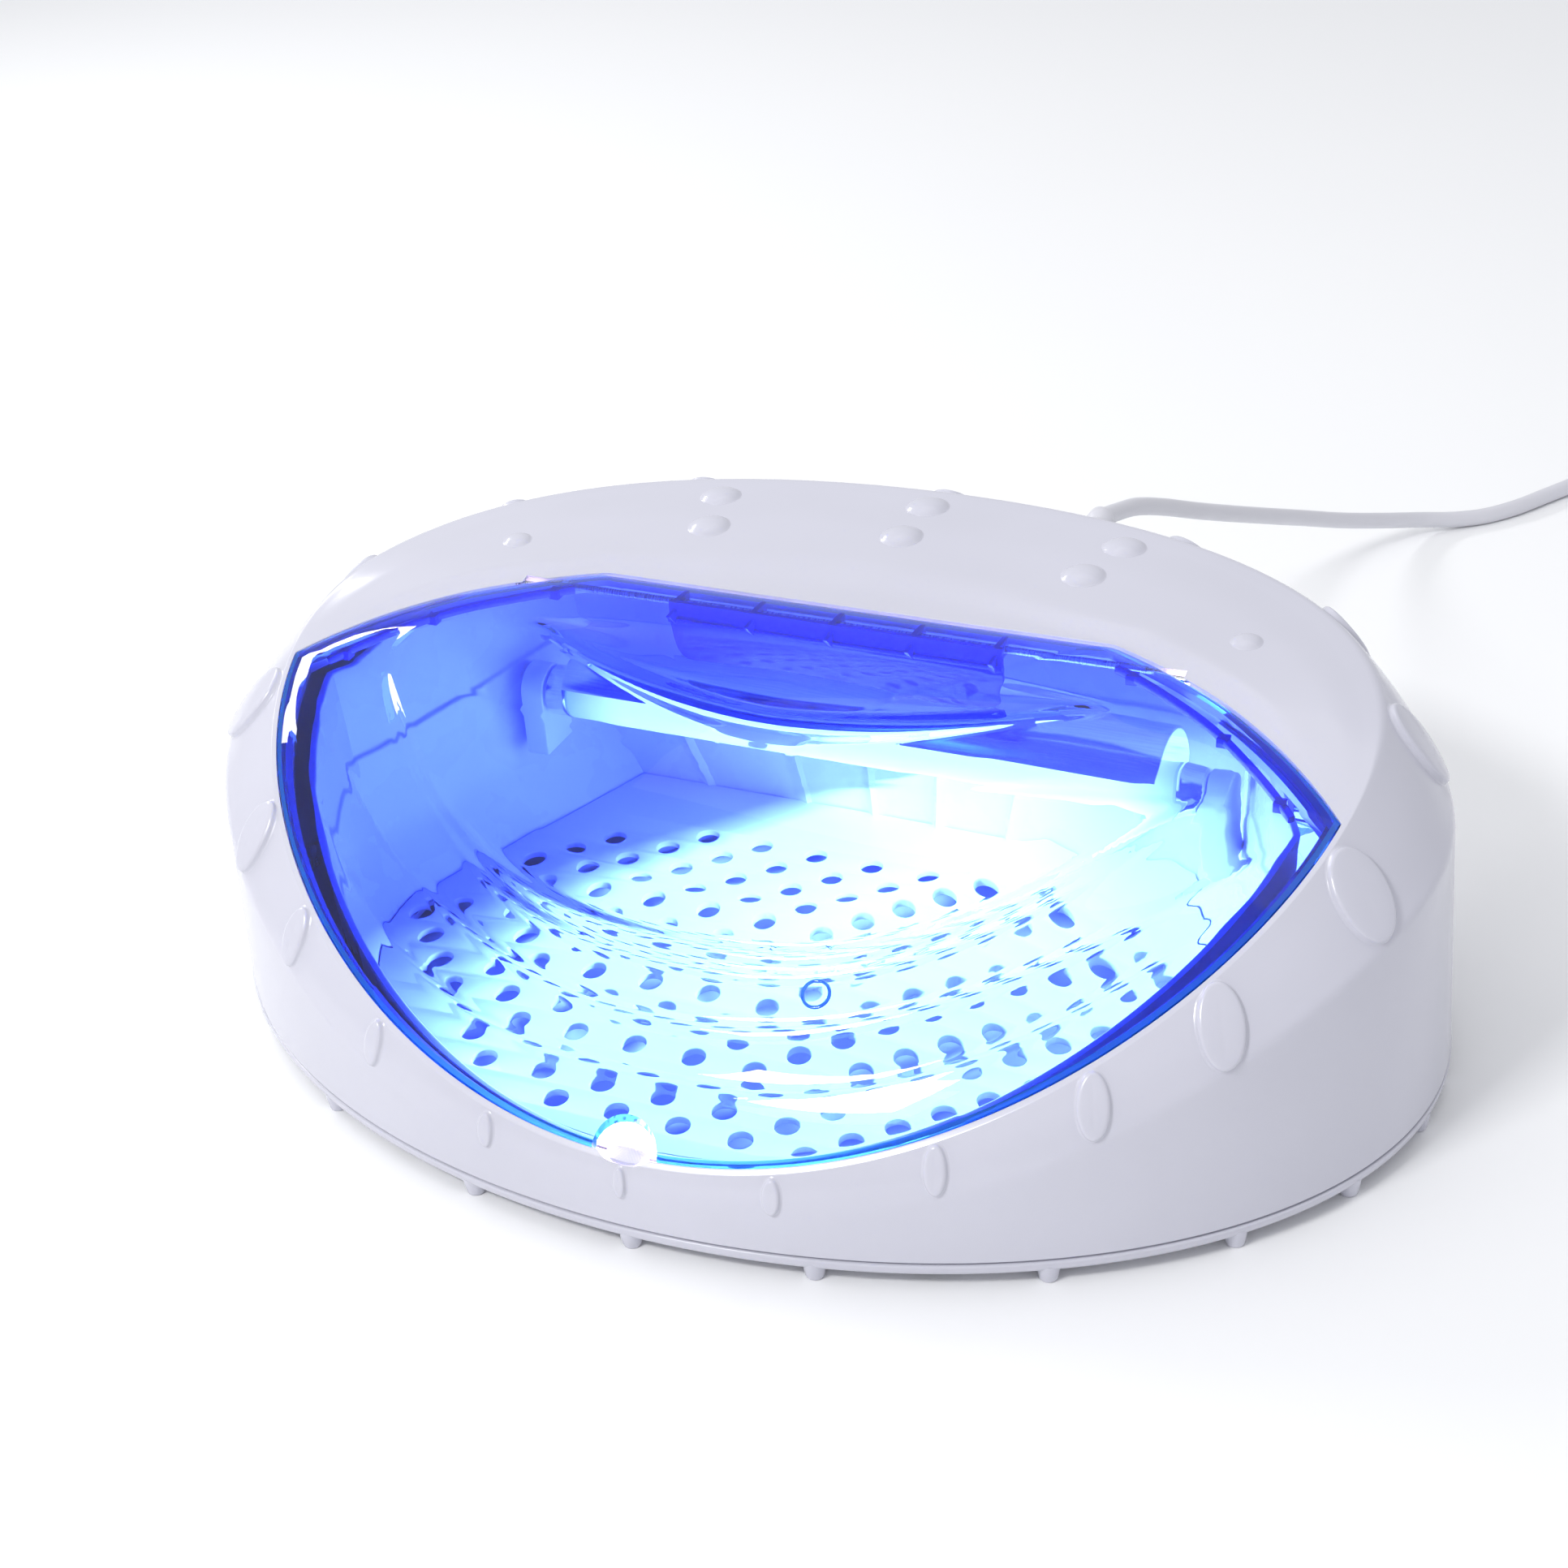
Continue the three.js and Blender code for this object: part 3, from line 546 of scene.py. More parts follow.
def crown_height(plan, rear, v):
    """The crown rises over a soft ridge behind the lid and falls again to its rim."""
    ridge_y = CROWN_CREASE_Y - CROWN_CREASE_BOW * plan[0] ** 2
    rise = ease(plan[1], ridge_y - 15, ridge_y + 1.5) * ease(1 - v, 0.0, 0.45)
    rise *= ease(v, 0, 0.2) * ease(rear, 0.02, 0.3)
    return float(top_surface(plan[1]) + CROWN_RISE * rise)


def housing_line(k):
    s = Station(k)
    crease_z = wall_top(HALF_DEPTH * math.sin(s.angle))
    foot = wall_point(s.angle, HOUSING_FOOT)
    crease = wall_point(s.angle, crease_z)
    plan = rim_plan(s)
    rim = lifted(plan, float(top_surface(plan[1])))
    outwards = np.array([math.cos(s.angle), math.sin(s.angle), 1])
    middle = (crease + rim) / 2 + outwards * 0.8
    seat = opening(s, 0, HINGE_LIP_GAP)
    seat_top = float(top_surface(seat[1]))
    width = np.linalg.norm(plan - seat)
    rim_round = min(0.6 + 4.5 * float(ease(s.rear, 0, 0.3)), 0.3 * width)
    crown = []
    for v in np.linspace(1 - rim_round / width, 0.5 / width, CROWN_ROWS):
        spot = seat + (plan - seat) * v
        crown.append(lifted(spot, crown_height(spot, s.rear, v)))
    ledge_width = LEDGE_WIDTH + (0.8 - LEDGE_WIDTH) * float(ease(seat[1], 15, 17))
    ledge = towards(seat, ledge_width)
    below = seat_top - LEDGE_DEPTH
    inner_rim = rim_plan(s, 3)
    deck = float(top_surface(plan[1])) - (6.5 - 3 * float(ease(s.rear, 0, 0.05)))
    rim_corner = [foot, crease, middle, rim, crown[0]]
    outer = rounded(rim_corner, [0.9, 1.7, 8, rim_round, 0], [9, 4, 4, 1, 1])
    edge = rounded([crown[-1], lifted(seat, seat_top), lifted(seat, below)], [0, 0.5, 0], [1, 1, 1])
    rest = [
        lifted(seat, below + 1.5),
        lifted(seat, below),
        lifted(ledge, below),
        lifted(ledge, below - SKIN),
        lifted(inner_rim, deck),
        wall_point(s.angle, crease_z - 2, SKIN),
        wall_point(s.angle, HOUSING_FOOT + 12, SKIN),
        wall_point(s.angle, HOUSING_FOOT, SKIN),
    ]
    return np.vstack([outer[:-1], crown[1:-1], edge[:-1], rest])


def drill(radius, low, high, axis, centre, sides, material=SHELL):
    """A round cutter; the walls that it leaves take its material."""
    line = [(0, low), (radius, low), (radius, high), (0, high)]
    return lathe("cutter", line, axis, centre, material, sides)


def make_housing():
    lines = [housing_line(k) for k in stations(104, 52, 44)]
    body = skin("housing_shell", all_round(lines), SHELL)
    cutters = []
    clear = 2.6  # room round the hinge axis for the rod and the lid's corners
    for _, side in SIDES:
        x = sorted((side * 90, side * 113.4))
        y = (HINGE_Y - clear, HINGE_Y + clear)
        cutters.append(box("cutter", x, y, (90, HINGE_Z + ROD_R + 0.15), SHELL))
        cutters.append(drill(clear, side * 92, side * 103.4, "x", (0, HINGE_Y, HINGE_Z), 32))
    cutters.append(drill(2, 78, 99, "z", PLUNGER_AT, 32))
    cutters.append(drill(6, 112, 140, "y", (EXIT[0], 0, EXIT[2]), 40))
    scoop = [(0, -1), *[(math.cos(a), math.sin(a)) for a in np.linspace(-1.4, 1.4, 11)], (0, 1)]
    dent = lathe("cutter", scoop, "z", (0, 0, 0), SHELL, 48)
    dent.data.transform(Matrix.Translation((0, -0.1252, 0.0312)) @ Matrix.Diagonal((8.6, 3.9, 4.4, 1)))
    cutters.append(dent)
    cut(body, cutters)
    placed(shaded(body, 32), "root", ["housing"])
    return body


housing = make_housing()
housing_tree = BVHTree.FromObject(housing, bpy.context.evaluated_depsgraph_get())


def raised_pad(name, centre, normal, along, half_width, half_length, profile):
    """A closed pad on the surface. The profile gives (distance out from its edge, height)."""
    across = np.cross(along, normal)
    sides = 44
    rows = []
    for out, height in profile:
        row = []
        for turn in full_turn(sides):
            a = max(half_width + out, 0.02) * math.cos(turn)
            b = max(half_length + out, 0.02) * math.sin(turn)
            place = centre + across * a + along * b
            found, slope, _, _ = housing_tree.find_nearest(Vector(place * MM))
            row.append(np.array(found) / MM + np.array(slope) * height)
        rows.append(row)
    middle, slope, _, _ = housing_tree.find_nearest(Vector(centre * MM))
    middle, slope = np.array(middle) / MM, np.array(slope)
    ends = [middle + slope * profile[0][1], middle + slope * profile[-1][1]]
    return skin(name, rows, SHELL, poles=ends)


def looked_down(tree, x, y):
    """The surface point below (x, y), its normal, and the way to the back along the surface."""
    hit, slope, _, _ = tree.ray_cast(Vector((x, y, 150)) * MM, Vector((0, 0, -1)))
    centre, normal = np.array(hit) / MM, np.array(slope)
    return centre, normal, unit(np.array([0, 1, 0]) - normal * normal[1])


def band_pads():
    """Ovals that grow from the front of the band to its sides, and run round the back."""
    angles = [-90, -76, -61.5, -47, -33.7, -13.6, 14, 38, 62, 90]
    sizes = [
        (3.3, 8.5), (4.7, 10), (6, 13.5), (8.5, 17.5), (12, 22.5), (16, 26), (17, 27), (16, 24),
        (15, 20), (14, 18),
    ]
    made = []
    for degrees, (width, length) in zip(angles, sizes):
        angle = math.radians(degrees)
        share = (angle - CORNER_ANGLE) / (QUARTER - CORNER_ANGLE)
        k = FRONT_END + (HALF_END - FRONT_END) * share
        if share < 0:
            k = FRONT_END * (angle + QUARTER) / (QUARTER + CORNER_ANGLE)
        s = Station(k)
        low = wall_point(s.angle, wall_top(HALF_DEPTH * math.sin(s.angle)))
        plan = rim_plan(s)
        high = lifted(plan, float(top_surface(plan[1])))
        centre = low + (high - low) * 0.52
        found, slope, _, _ = housing_tree.find_nearest(Vector(centre * MM))
        centre, normal = np.array(found) / MM, np.array(slope)
        along = unit(np.array([0, 0, 1]) - normal * normal[2])
        half_width, half_length = width / 2, length / 2
        height = 1.1 + 0.05 * width
        soft = min(1.3, half_width * 0.4)
        flat = [(-half_width * share_in, height) for share_in in (0.85, 0.6, 0.42)]
        bend = [
            (-soft * (1 - math.sin(t)), height - soft * 0.8 * (1 - math.cos(t)))
            for t in np.linspace(0.15, 1.2, 6)
        ]
        foot = [(0.1, 0.28), (0.35, 0.1), (0.8, -0.02), (0.9, -0.5)]
        profile = flat + bend + foot
        for side in (-1, 1):
            if side < 0 and abs(centre[0]) < 1:
                continue
            mirror = np.array([side, 1, 1])
            made.append(raised_pad("pad", centre * mirror, normal * mirror, along * mirror,
                                   half_width, half_length, profile))
    return made


def crown_domes():
    """Low lens-shaped bumps on the crown: three pairs and a smaller one near each end."""
    places = [(0, 97.1, 6.6), (0, 76.2, 6.4), (66, 87.8, 6.4), (60.3, 67.7, 6.4), (115.4, 45, 4.3)]
    made = []
    for x, y, radius in places:
        for side in (-1, 1):
            if side < 0 and x == 0:
                continue
            centre, normal, along = looked_down(housing_tree, side * x, y)
            height = 0.31 * radius
            lens = [
                (-radius * (1 - t), height * (1 - t**2.4) ** 0.8)
                for t in (0.15, 0.35, 0.55, 0.72, 0.85, 0.94)
            ]
            profile = lens + [(0, 0.12), (0.25, 0.02), (0.3, -0.6)]
            made.append(raised_pad("dome", centre, normal, along, radius, radius, profile))
    return made


bumps = joined("moulded_bumps", band_pads() + crown_domes())
placed(shaded(bumps, 60), "root")


def finger_pad():
    """A finely knurled patch in the dent under the lid's finger notch."""
    half_x, half_y, steps_x, steps_y = 6.6, 2.6, 66, 26
    rows = []
    for v in np.linspace(-1, 1, steps_y):
        reach = half_x * math.sqrt(max(1 - (abs(v) * 0.92) ** 2.6, 0.02))
        row = []
        for u in np.linspace(-1, 1, steps_x):
            x, y = u * reach, -123.6 + v * half_y
            z = float(top_surface(y)) - 4.15 + 0.13 * math.cos(x * 7.2) * math.cos(y * 7.2 + 1)
            row.append((x, y, z))
        rows.append(row)
    top = np.array(rows)
    under = top[::-1] - np.array([0, 0, 1.2])
    ring = np.concatenate([top.transpose(1, 0, 2), under.transpose(1, 0, 2)], axis=1)
    ends = [ring[0].mean(axis=0), ring[-1].mean(axis=0)]
    return skin("finger_pad", ring, SHELL, poles=ends)


placed(shaded(finger_pad(), 50), "root")


# ---- base pan
PEG_ANGLES = [0, 0.283, 0.634, 0.955, 1.217, 1.483]  # radians from the front and the back
PEG_INSET = 3.6
SCREW_INSET = 6
SCREW_PLACES = [
    ((HALF_WIDTH - SCREW_INSET) * math.cos(a), (HALF_DEPTH - SCREW_INSET) * math.sin(a))
    for a in np.radians((-116, -64, 0, 64, 116, 180))
]


def pan_line(k):
    angle = Station(k).angle

    def ring(inset, z):
        point = wall_point(angle, 0, inset)
        point[2] = z
        return point

    corners = [
        ring(3, PAN_BOTTOM), ring(0.6, PAN_BOTTOM + 0.5), ring(0, HOUSING_FOOT - GAP),
        ring(SKIN + 0.9, HOUSING_FOOT - GAP), ring(SKIN + 0.9, HOUSING_FOOT + 3),
        ring(SKIN + 2.4, HOUSING_FOOT + 3), ring(SKIN + 2.4, PAN_TOP), ring(40, PAN_TOP),
        ring(40, PAN_BOTTOM),
    ]
    return rounded(corners, [0.8, 1.2, 0.8, 0, 0, 0, 0, 0, 0], [1, 3, 1, 1, 1, 1, 4, 1, 4], arc=3)


def make_base():
    lines = [pan_line(k) for k in stations(72, 28, 28)]
    rows = all_round(lines)
    start = len(rows) - 5  # the inner ring's upper row; the underside is a shallow cone up to it
    order = np.roll(rows, -start, axis=0)
    pan = skin("base_pan_shell", order, SHELL, poles=[(0, 0, PAN_BOTTOM), (0, 0, PAN_TOP)])
    parts = [pan]
    places = set()
    for from_front in PEG_ANGLES:
        for sx in (-1, 1):
            for sy in (-1, 1):
                x = sx * (HALF_WIDTH - PEG_INSET) * math.sin(from_front)
                y = sy * (HALF_DEPTH - PEG_INSET) * math.cos(from_front)
                if (round(x), round(y)) in places:
                    continue
                places.add((round(x), round(y)))
                peg = [(0, 0), (1.9, 0), (2.4, 0.15), (2.65, 0.7), (3.3, 5), (3.3, 5.8), (0, 5.8)]
                parts.append(lathe("peg", peg, "z", (x, y, 0), SHELL, 28))
    base = joined("base_pan_shell", parts)
    cutters = []
    for x, y in SCREW_PLACES:
        well = [(0, -1), (3.4, -1), (3.4, PAN_BOTTOM + 1), (1.9, PAN_BOTTOM + 1), (1.9, 20), (0, 20)]
        cutters.append(lathe("cutter", well, "z", (x, y, 0), SHELL, 28))
    cut(base, [joined("cutter", cutters)])
    placed(shaded(base, 40), "root", ["base_pan"])


make_base()


def screw(name, x, y):
    """A pan-head screw with a cross recess; its head looks down."""
    profile = [(0, 2.6), (1.9, 2.6), (2.6, 2.85), (2.9, 3.3), (2.9, 4.5), (1.5, 4.6)]
    for turn in range(8):
        level = 5.2 + turn * 1.05
        profile += [(1.15, level), (1.5, level + 0.5)]
    profile += [(0.9, 13.8), (0, 14)]
    made = lathe(name, profile, "z", (x, y, 0), STEEL, 32)
    recess = []
    for wide, deep in ((1.7, 0.32), (0.32, 1.7)):
        recess.append(box("cutter", (x - wide, x + wide), (y - deep, y + deep), (2, 3.6), STEEL))
    return shaded(cut(made, recess), 30)


for number, (x, y) in enumerate(SCREW_PLACES, start=1):
    placed(screw(f"base_screw_head_{number}", x, y), "root", [f"base_screw_{number}"])


# ---- chamber tub and tray
FLOOR_SHAPE = dict(a=130, b=89, side=(106, 38), back=(94, 69))
MOUTH_SHAPE = dict(a=147.5, b=117, side=(128, 24), back=(116, 71))


def tub_half(a, b, side, back, centre_y, start_y, steps):
    """Half outline of the tub: an elliptic front, a side, an end wall and a flat back."""
    turn = math.asin((start_y - centre_y) / b)
    front, sides, ends, backs = steps
    points = []
    for angle in np.linspace(-QUARTER, turn, front, endpoint=False):
        points.append((max(a * math.cos(angle), 0), centre_y + b * math.sin(angle)))
    knots = [(a * math.cos(turn), start_y), side, back, (0, back[1])]
    for start, end, count in zip(knots, knots[1:], (sides, ends, backs)):
        for t in np.linspace(0, 1, count, endpoint=False):
            points.append((start[0] + (end[0] - start[0]) * t, start[1] + (end[1] - start[1]) * t))
    points.append((0, back[1]))
    return [np.array(p) for p in points]


TUB_STEPS = (72, 30, 18, 60)
floor_half = tub_half(**FLOOR_SHAPE, centre_y=FLOOR_CENTRE_Y, start_y=FLOOR_CENTRE_Y, steps=TUB_STEPS)
mouth_half = tub_half(**MOUTH_SHAPE, centre_y=0, start_y=CORNER_Y, steps=TUB_STEPS)


def mouth_height(y):
    drop = 5.4 + 3 * float(ease(y, -20, -9))
    return float(top_surface(y * 1.06 if y < 0 else y)) - drop


def tub_line(floor, mouth):
    wall, rib_depth = 2, 2.2
    floor_z = TRAY_BOTTOM - GAP
    rim_z = mouth_height(mouth[1])
    bend = floor + (mouth - floor) * 0.65
    bend_z = floor_z + (rim_z - floor_z) * 0.3
    step = mouth + (bend - mouth) * 0.52
    step_z = rim_z + (bend_z - rim_z) * 0.52
    on_back = float(ease(floor[1], 60, 66))
    rib = sum(math.exp(-(((floor[0] - x) / 1.3) ** 2)) for x in (11, 35, 70)) * on_back
    inner = towards(floor, rib_depth * rib)
    corners = [
        lifted(towards(mouth, -wall), rim_z),
        lifted(mouth, rim_z),
        lifted(step, step_z),
        lifted(towards(step, 1.3), step_z - 0.7),
        lifted(towards(bend, 0.6 + rib_depth * rib), bend_z),
        lifted(towards(floor, 0.3 + rib_depth * rib), floor_z + 2.6),
        lifted(inner, floor_z),
        lifted(towards(floor, 5), floor_z),
        lifted(towards(floor, 5), floor_z - wall),
        lifted(towards(floor, -wall), floor_z - wall),
        lifted(towards(bend, -wall), bend_z - 1),
    ]
    rounds = [0, 0.7, 0.8, 0.8, 7, 3, 0, 0, 0, 0, 0]
    return rounded(corners, rounds, [1, 5, 1, 5, 6, 1, 1, 1, 1, 2, 2])


def make_tub():
    lines = [tub_line(f, m) for f, m in zip(floor_half, mouth_half)]
    tub = skin("chamber_tub_shell", all_round(lines), INNER)
    placed(shaded(tub, 30), "root", ["chamber_tub"])


make_tub()

HOLE_R = 3.5
ROW_PITCH = 9.65
HOLE_PITCH = 18.7
HOLE_MARGIN = 7.5
HOLE_SIDES = 28


def hole_places():
    for row in range(15):
        y = 40 - row * ROW_PITCH
        for column in range(-7, 8):
            x = (column + (row % 2) / 2) * HOLE_PITCH
            reach = FLOOR_SHAPE["b"] - HOLE_MARGIN if y < FLOOR_CENTRE_Y else 72
            across = x / (FLOOR_SHAPE["a"] - HOLE_MARGIN)
            if across**2 + ((y - FLOOR_CENTRE_Y) / reach) ** 2 < 1:
                yield x, y


def make_tray():
    """The punched tray: a filled outline with its holes, thickened, with rounded edges."""
    curve = bpy.data.curves.new("tray_outline", "CURVE")
    curve.dimensions = "2D"
    curve.fill_mode = "BOTH"
    edge_round = 0.35
    curve.extrude = (TRAY_THICKNESS / 2 - edge_round) * MM
    curve.bevel_depth = edge_round * MM
    curve.bevel_resolution = 2
    curve.offset = -edge_round * MM

    def loop(points):
        spline = curve.splines.new("POLY")
        spline.points.add(len(points) - 1)
        for place, (x, y) in zip(spline.points, points):
            place.co = (x * MM, y * MM, 0, 1)
        spline.use_cyclic_u = True

    right = [towards(f, 0.7) for f in floor_half]
    loop(right + [np.array([-p[0], p[1]]) for p in right[1:-1][::-1]])
    turns = full_turn(HOLE_SIDES)
    for x, y in hole_places():
        loop([(x + HOLE_R * math.cos(a), y + HOLE_R * math.sin(a)) for a in turns])
    shape = bpy.data.objects.new("tray_outline", curve)
    scene.collection.objects.link(shape)
    bpy.context.view_layer.update()
    shown = shape.evaluated_get(bpy.context.evaluated_depsgraph_get())
    mesh = bpy.data.meshes.new_from_object(shown)
    bpy.data.objects.remove(shape)
    work = bmesh.new()
    work.from_mesh(mesh)
    bmesh.ops.remove_doubles(work, verts=work.verts, dist=1e-6)
    bmesh.ops.recalc_face_normals(work, faces=work.faces)
    work.to_mesh(mesh)
    work.free()
    mesh.transform(Matrix.Translation((0, 0, (TRAY_BOTTOM + TRAY_THICKNESS / 2) * MM)))
    mesh.materials.clear()
    mesh.materials.append(TRAY)
    tray = bpy.data.objects.new("punched_tray", mesh)
    scene.collection.objects.link(tray)
    placed(shaded(tray, 40), "tray", ["perforated_tray"])


make_tray()


# ---- lid
LID_CENTRE = np.array([0, -42])
CRESCENTS = [  # middle y, tip x, tip y, power, height, width of its front, where it has faded
    (-110.5, 153, -31, 2.6, 0.55, 2.0, 11),
    (-99.5, 152, -24, 2.17, 0.8, 2.2, 13),
    (-88.0, 131, -15, 2.5, 0.9, 1.8, 16),
    (-84.0, 127, -17, 2.5, 1.7, 2.4, 46),
]


def crescent(x, y, middle_y, tip_x, tip_y, power, height, wide, fade):
    """A raised terrace with a steep front along a crescent, which melts away behind it."""
    reach = np.clip(np.abs(x) / tip_x, 0, 1)
    line = middle_y + (tip_y - middle_y) * reach**power
    slope = (tip_y - middle_y) * power * reach ** (power - 1) / tip_x
    distance = (y - line) / np.sqrt(1 + slope**2)
    strength = height * (1 - reach**7)
    return strength * ease(distance, -wide / 2, wide / 2) * (1 - ease(distance, wide / 2, fade))


def eyelid(x, y):
    """The bulge at the back of the lid, between a lower and an upper line."""
    reach = np.clip(np.abs(x) / 89.5, 0, 1)
    low = -26 + 30 * reach**1.8
    high = 0.5 + 4 * reach
    share = (y - low) / np.maximum(high - low, 0.5)
    hump = ease(share, -0.06, 0.2) * (1 - ease(share, 0.35, 1.35))
    return 2.8 * (1 - reach**3) * hump


def lid_height(x, y, share):
    dome = 6.4 * (1 - share**2) + 2 * (1 - share**24)
    shape = top_surface(y) + dome
    for terrace in CRESCENTS:
        shape += crescent(x, y, *terrace)
    shape += eyelid(x, y)
    return shape


def lid_grid(shares, lines, drop):
    """Rows of points over the lid at shares of the way out to its edge."""
    edge = np.array([opening(Station(k), -GAP) for k in lines])
    rows = []
    for share in shares:
        plan = LID_CENTRE + (edge - LID_CENTRE) * share
        z = lid_height(plan[:, 0], plan[:, 1], share) - drop
        right = np.column_stack([plan, z])
        left = right[1:-1][::-1] * np.array([-1, 1, 1])
        rows.append(np.concatenate([right, left]))
    return rows


def make_lid():
    lines = stations(84, 42, 40)
    spread = np.concatenate([np.linspace(0.02, 0.2, 8), np.linspace(0.215, 0.955, 92)])
    shoulder = [0.967, 0.977, 0.985, 0.991, 0.996]
    outside = lid_grid([*spread, *shoulder], lines, 0)
    rim = lid_grid([1.0], lines, 0)[0]
    skirt = []
    for drop in (0.6, 2.2, LID_SKIRT - 0.5):
        level = rim.copy()
        level[:, 2] -= drop
        skirt.append(level)
    foot_out = lid_grid([0.9975], lines, 0)[0]
    foot_in = lid_grid([0.985], lines, 0)[0]
    for row in (foot_out, foot_in):
        row[:, 2] = top_surface(row[:, 1]) - LID_SKIRT
    inside = lid_grid([0.978, 0.967, *spread[::-1]], lines, LID_THICKNESS)
    rows = [*outside, rim, *skirt, foot_out, foot_in, *inside]
    peak = float(lid_height(0.0, float(LID_CENTRE[1]), 0.0))
    ends = [(0, LID_CENTRE[1], peak), (0, LID_CENTRE[1], peak - LID_THICKNESS)]
    lid = skin("lid_pane", rows, CLEAR_BLUE, poles=ends, extra_materials=[EDGE_BLUE])
    around = rows[0].shape[0]
    rim_rows = range(len(outside) - 2, len(outside) + 5)
    marks = np.zeros(len(lid.data.polygons), int)
    for r in rim_rows:
        marks[r * around : (r + 1) * around] = 1
    lid.data.polygons.foreach_set("material_index", marks)
    finger = drill(1, 10, 50, "z", (0, 0, 0), 56, EDGE_BLUE)
    finger.data.transform(Matrix.Translation((0, -0.125, 0)) @ Matrix.Diagonal((9.5, 6.5, 1, 1)))
    cut(lid, [finger])
    return lid


lid = make_lid()
lid_tree = BVHTree.FromObject(lid, bpy.context.evaluated_depsgraph_get())
placed(shaded(lid, 30), "lid", ["lid_shell"])


def under_lid(x, y):
    """Height of the lid's underside, in millimetres."""
    hit = lid_tree.ray_cast(Vector((x, y, 15)) * MM, Vector((0, 0, 1)))[0]
    return hit[2] / MM


FRAME_HALF = 52
GUSSETS = [-50, -25, 0, 25, 50]


def make_hinge_frame():
    """A web with rounded lower corners, and the gussets that the rod passes through."""
    corner, foot = 7, 91
    bend = [
        (FRAME_HALF - corner + corner * math.cos(a), foot + corner - corner * math.sin(a))
        for a in np.linspace(0, QUARTER, 7)
    ]
    outline = bend + [(-x, z) for x, z in bend[::-1]]
    web_y = (22.4, 24)
    top = [(x, under_lid(x, 23.2) + 0.1) for x in np.linspace(-FRAME_HALF, FRAME_HALF, 27)]
    parts = [prism("web", outline + top, *web_y, "xz", DEEP_BLUE)]
    shelf = [(x, HINGE_Z - 3.4) for x in (-FRAME_HALF, FRAME_HALF)]
    shelf += [(x, HINGE_Z - 2.2) for x in (FRAME_HALF, -FRAME_HALF)]
    parts.append(prism("shelf", shelf, 21.2, 22.5, "xz", DEEP_BLUE))
    for x in GUSSETS:
        y = np.linspace(23.5, 31, 7)
        roof = [(b, under_lid(x, b) + 0.1) for b in y[::-1]]
        blade = [(23.5, HINGE_Z - 2.4), (31, HINGE_Z - 2.4)] + roof
        parts.append(prism("gusset", blade, x - 0.9, x + 0.9, "yz", DEEP_BLUE))
        fin = [(22.6, HINGE_Z - 5.2), (22.6, HINGE_Z + 0.6), (17.6, HINGE_Z + 0.2), (20.4, HINGE_Z - 3)]
        parts.append(prism("fin", fin, x - 0.7, x + 0.7, "yz", DEEP_BLUE))
    made = softened(joined("hinge_frame", parts), 0.2)
    placed(shaded(made, 35), "lid", ["lid_hinge_frame"])


def strip(name, path, wide, tall, material):
    """A bar of rectangular section with softened edges along a path."""
    path = np.array(path)
    rows = []
    for k, point in enumerate(path):
        ahead = path[min(k + 1, len(path) - 1)] - path[max(k - 1, 0)]
        across = unit(np.cross(ahead, (0, 0, 1)))
        rise = unit(np.cross(across, ahead))
        section = [(-1, -1), (1, -1), (1, 1), (-1, 1)]
        row = []
        for a, b in section:
            for inset in ((0.75, 1), (1, 0.75)) if a * b < 0 else ((1, 0.75), (0.75, 1)):
                row.append(point + across * a * inset[0] * wide / 2 + rise * b * inset[1] * tall / 2)
        rows.append(row)
    return skin(name, rows, material, poles=[path[0], path[-1]])


def make_lid_ribs():
    """Slim strips under the lid beside its side arcs, with small locating tabs."""
    for word, side in SIDES:
        path, tabs = [], []
        for k in np.linspace(16.9, 23.6, 40):
            plan = opening(Station(k), -10.5)
            height = under_lid(plan[0], plan[1]) - 0.95
            path.append((side * plan[0], plan[1], height))
        for share in (3, 17, 36):
            x, y, z = path[share]
            sides = (x - 1.6, x + 1.6), (y - 1.6, y + 1.6)
            tabs.append(box("tab", *sides, (z - 1.7, z + 0.9), DEEP_BLUE))
        made = joined(f"lid_strip_{word}", [strip("strip", path, 2.0, 2.0, DEEP_BLUE), *tabs])
        placed(shaded(softened(made, 0.15), 30), "lid", [f"lid_rib_{word}"])


def make_gate_mark():
    """The small ring that the mould's gate left on the lid."""
    centre, normal, along = looked_down(lid_tree, 41.3, -88.6)
    across = np.cross(along, normal)
    rows = []
    for radius, height in ((3.2, -0.2), (3.25, 0.25), (3.6, 0.4), (4.0, 0.25), (4.1, -0.2)):
        raised = centre + normal * height
        rows.append([
            raised + across * radius * math.cos(a) + along * radius * math.sin(a) for a in full_turn(40)
        ])
    ring = skin("lid_gate_mark", rows, CLEAR_BLUE)
    placed(shaded(ring, 50), "lid")


def turned_bar(half, radius, side_cut, end_cut):
    """Profile of a bar with small chamfers at both ends."""
    right = [(radius, half - end_cut), (radius - side_cut, half), (0, half)]
    return [(r, -x) for r, x in right[::-1]] + right


def make_hinge_rod():
    made = lathe("hinge_pin", turned_bar(ROD_HALF, ROD_R, 0.3, 0.3), "x", (0, HINGE_Y, HINGE_Z), STEEL, 28)
    placed(shaded(made), "lid", ["hinge_rod"])


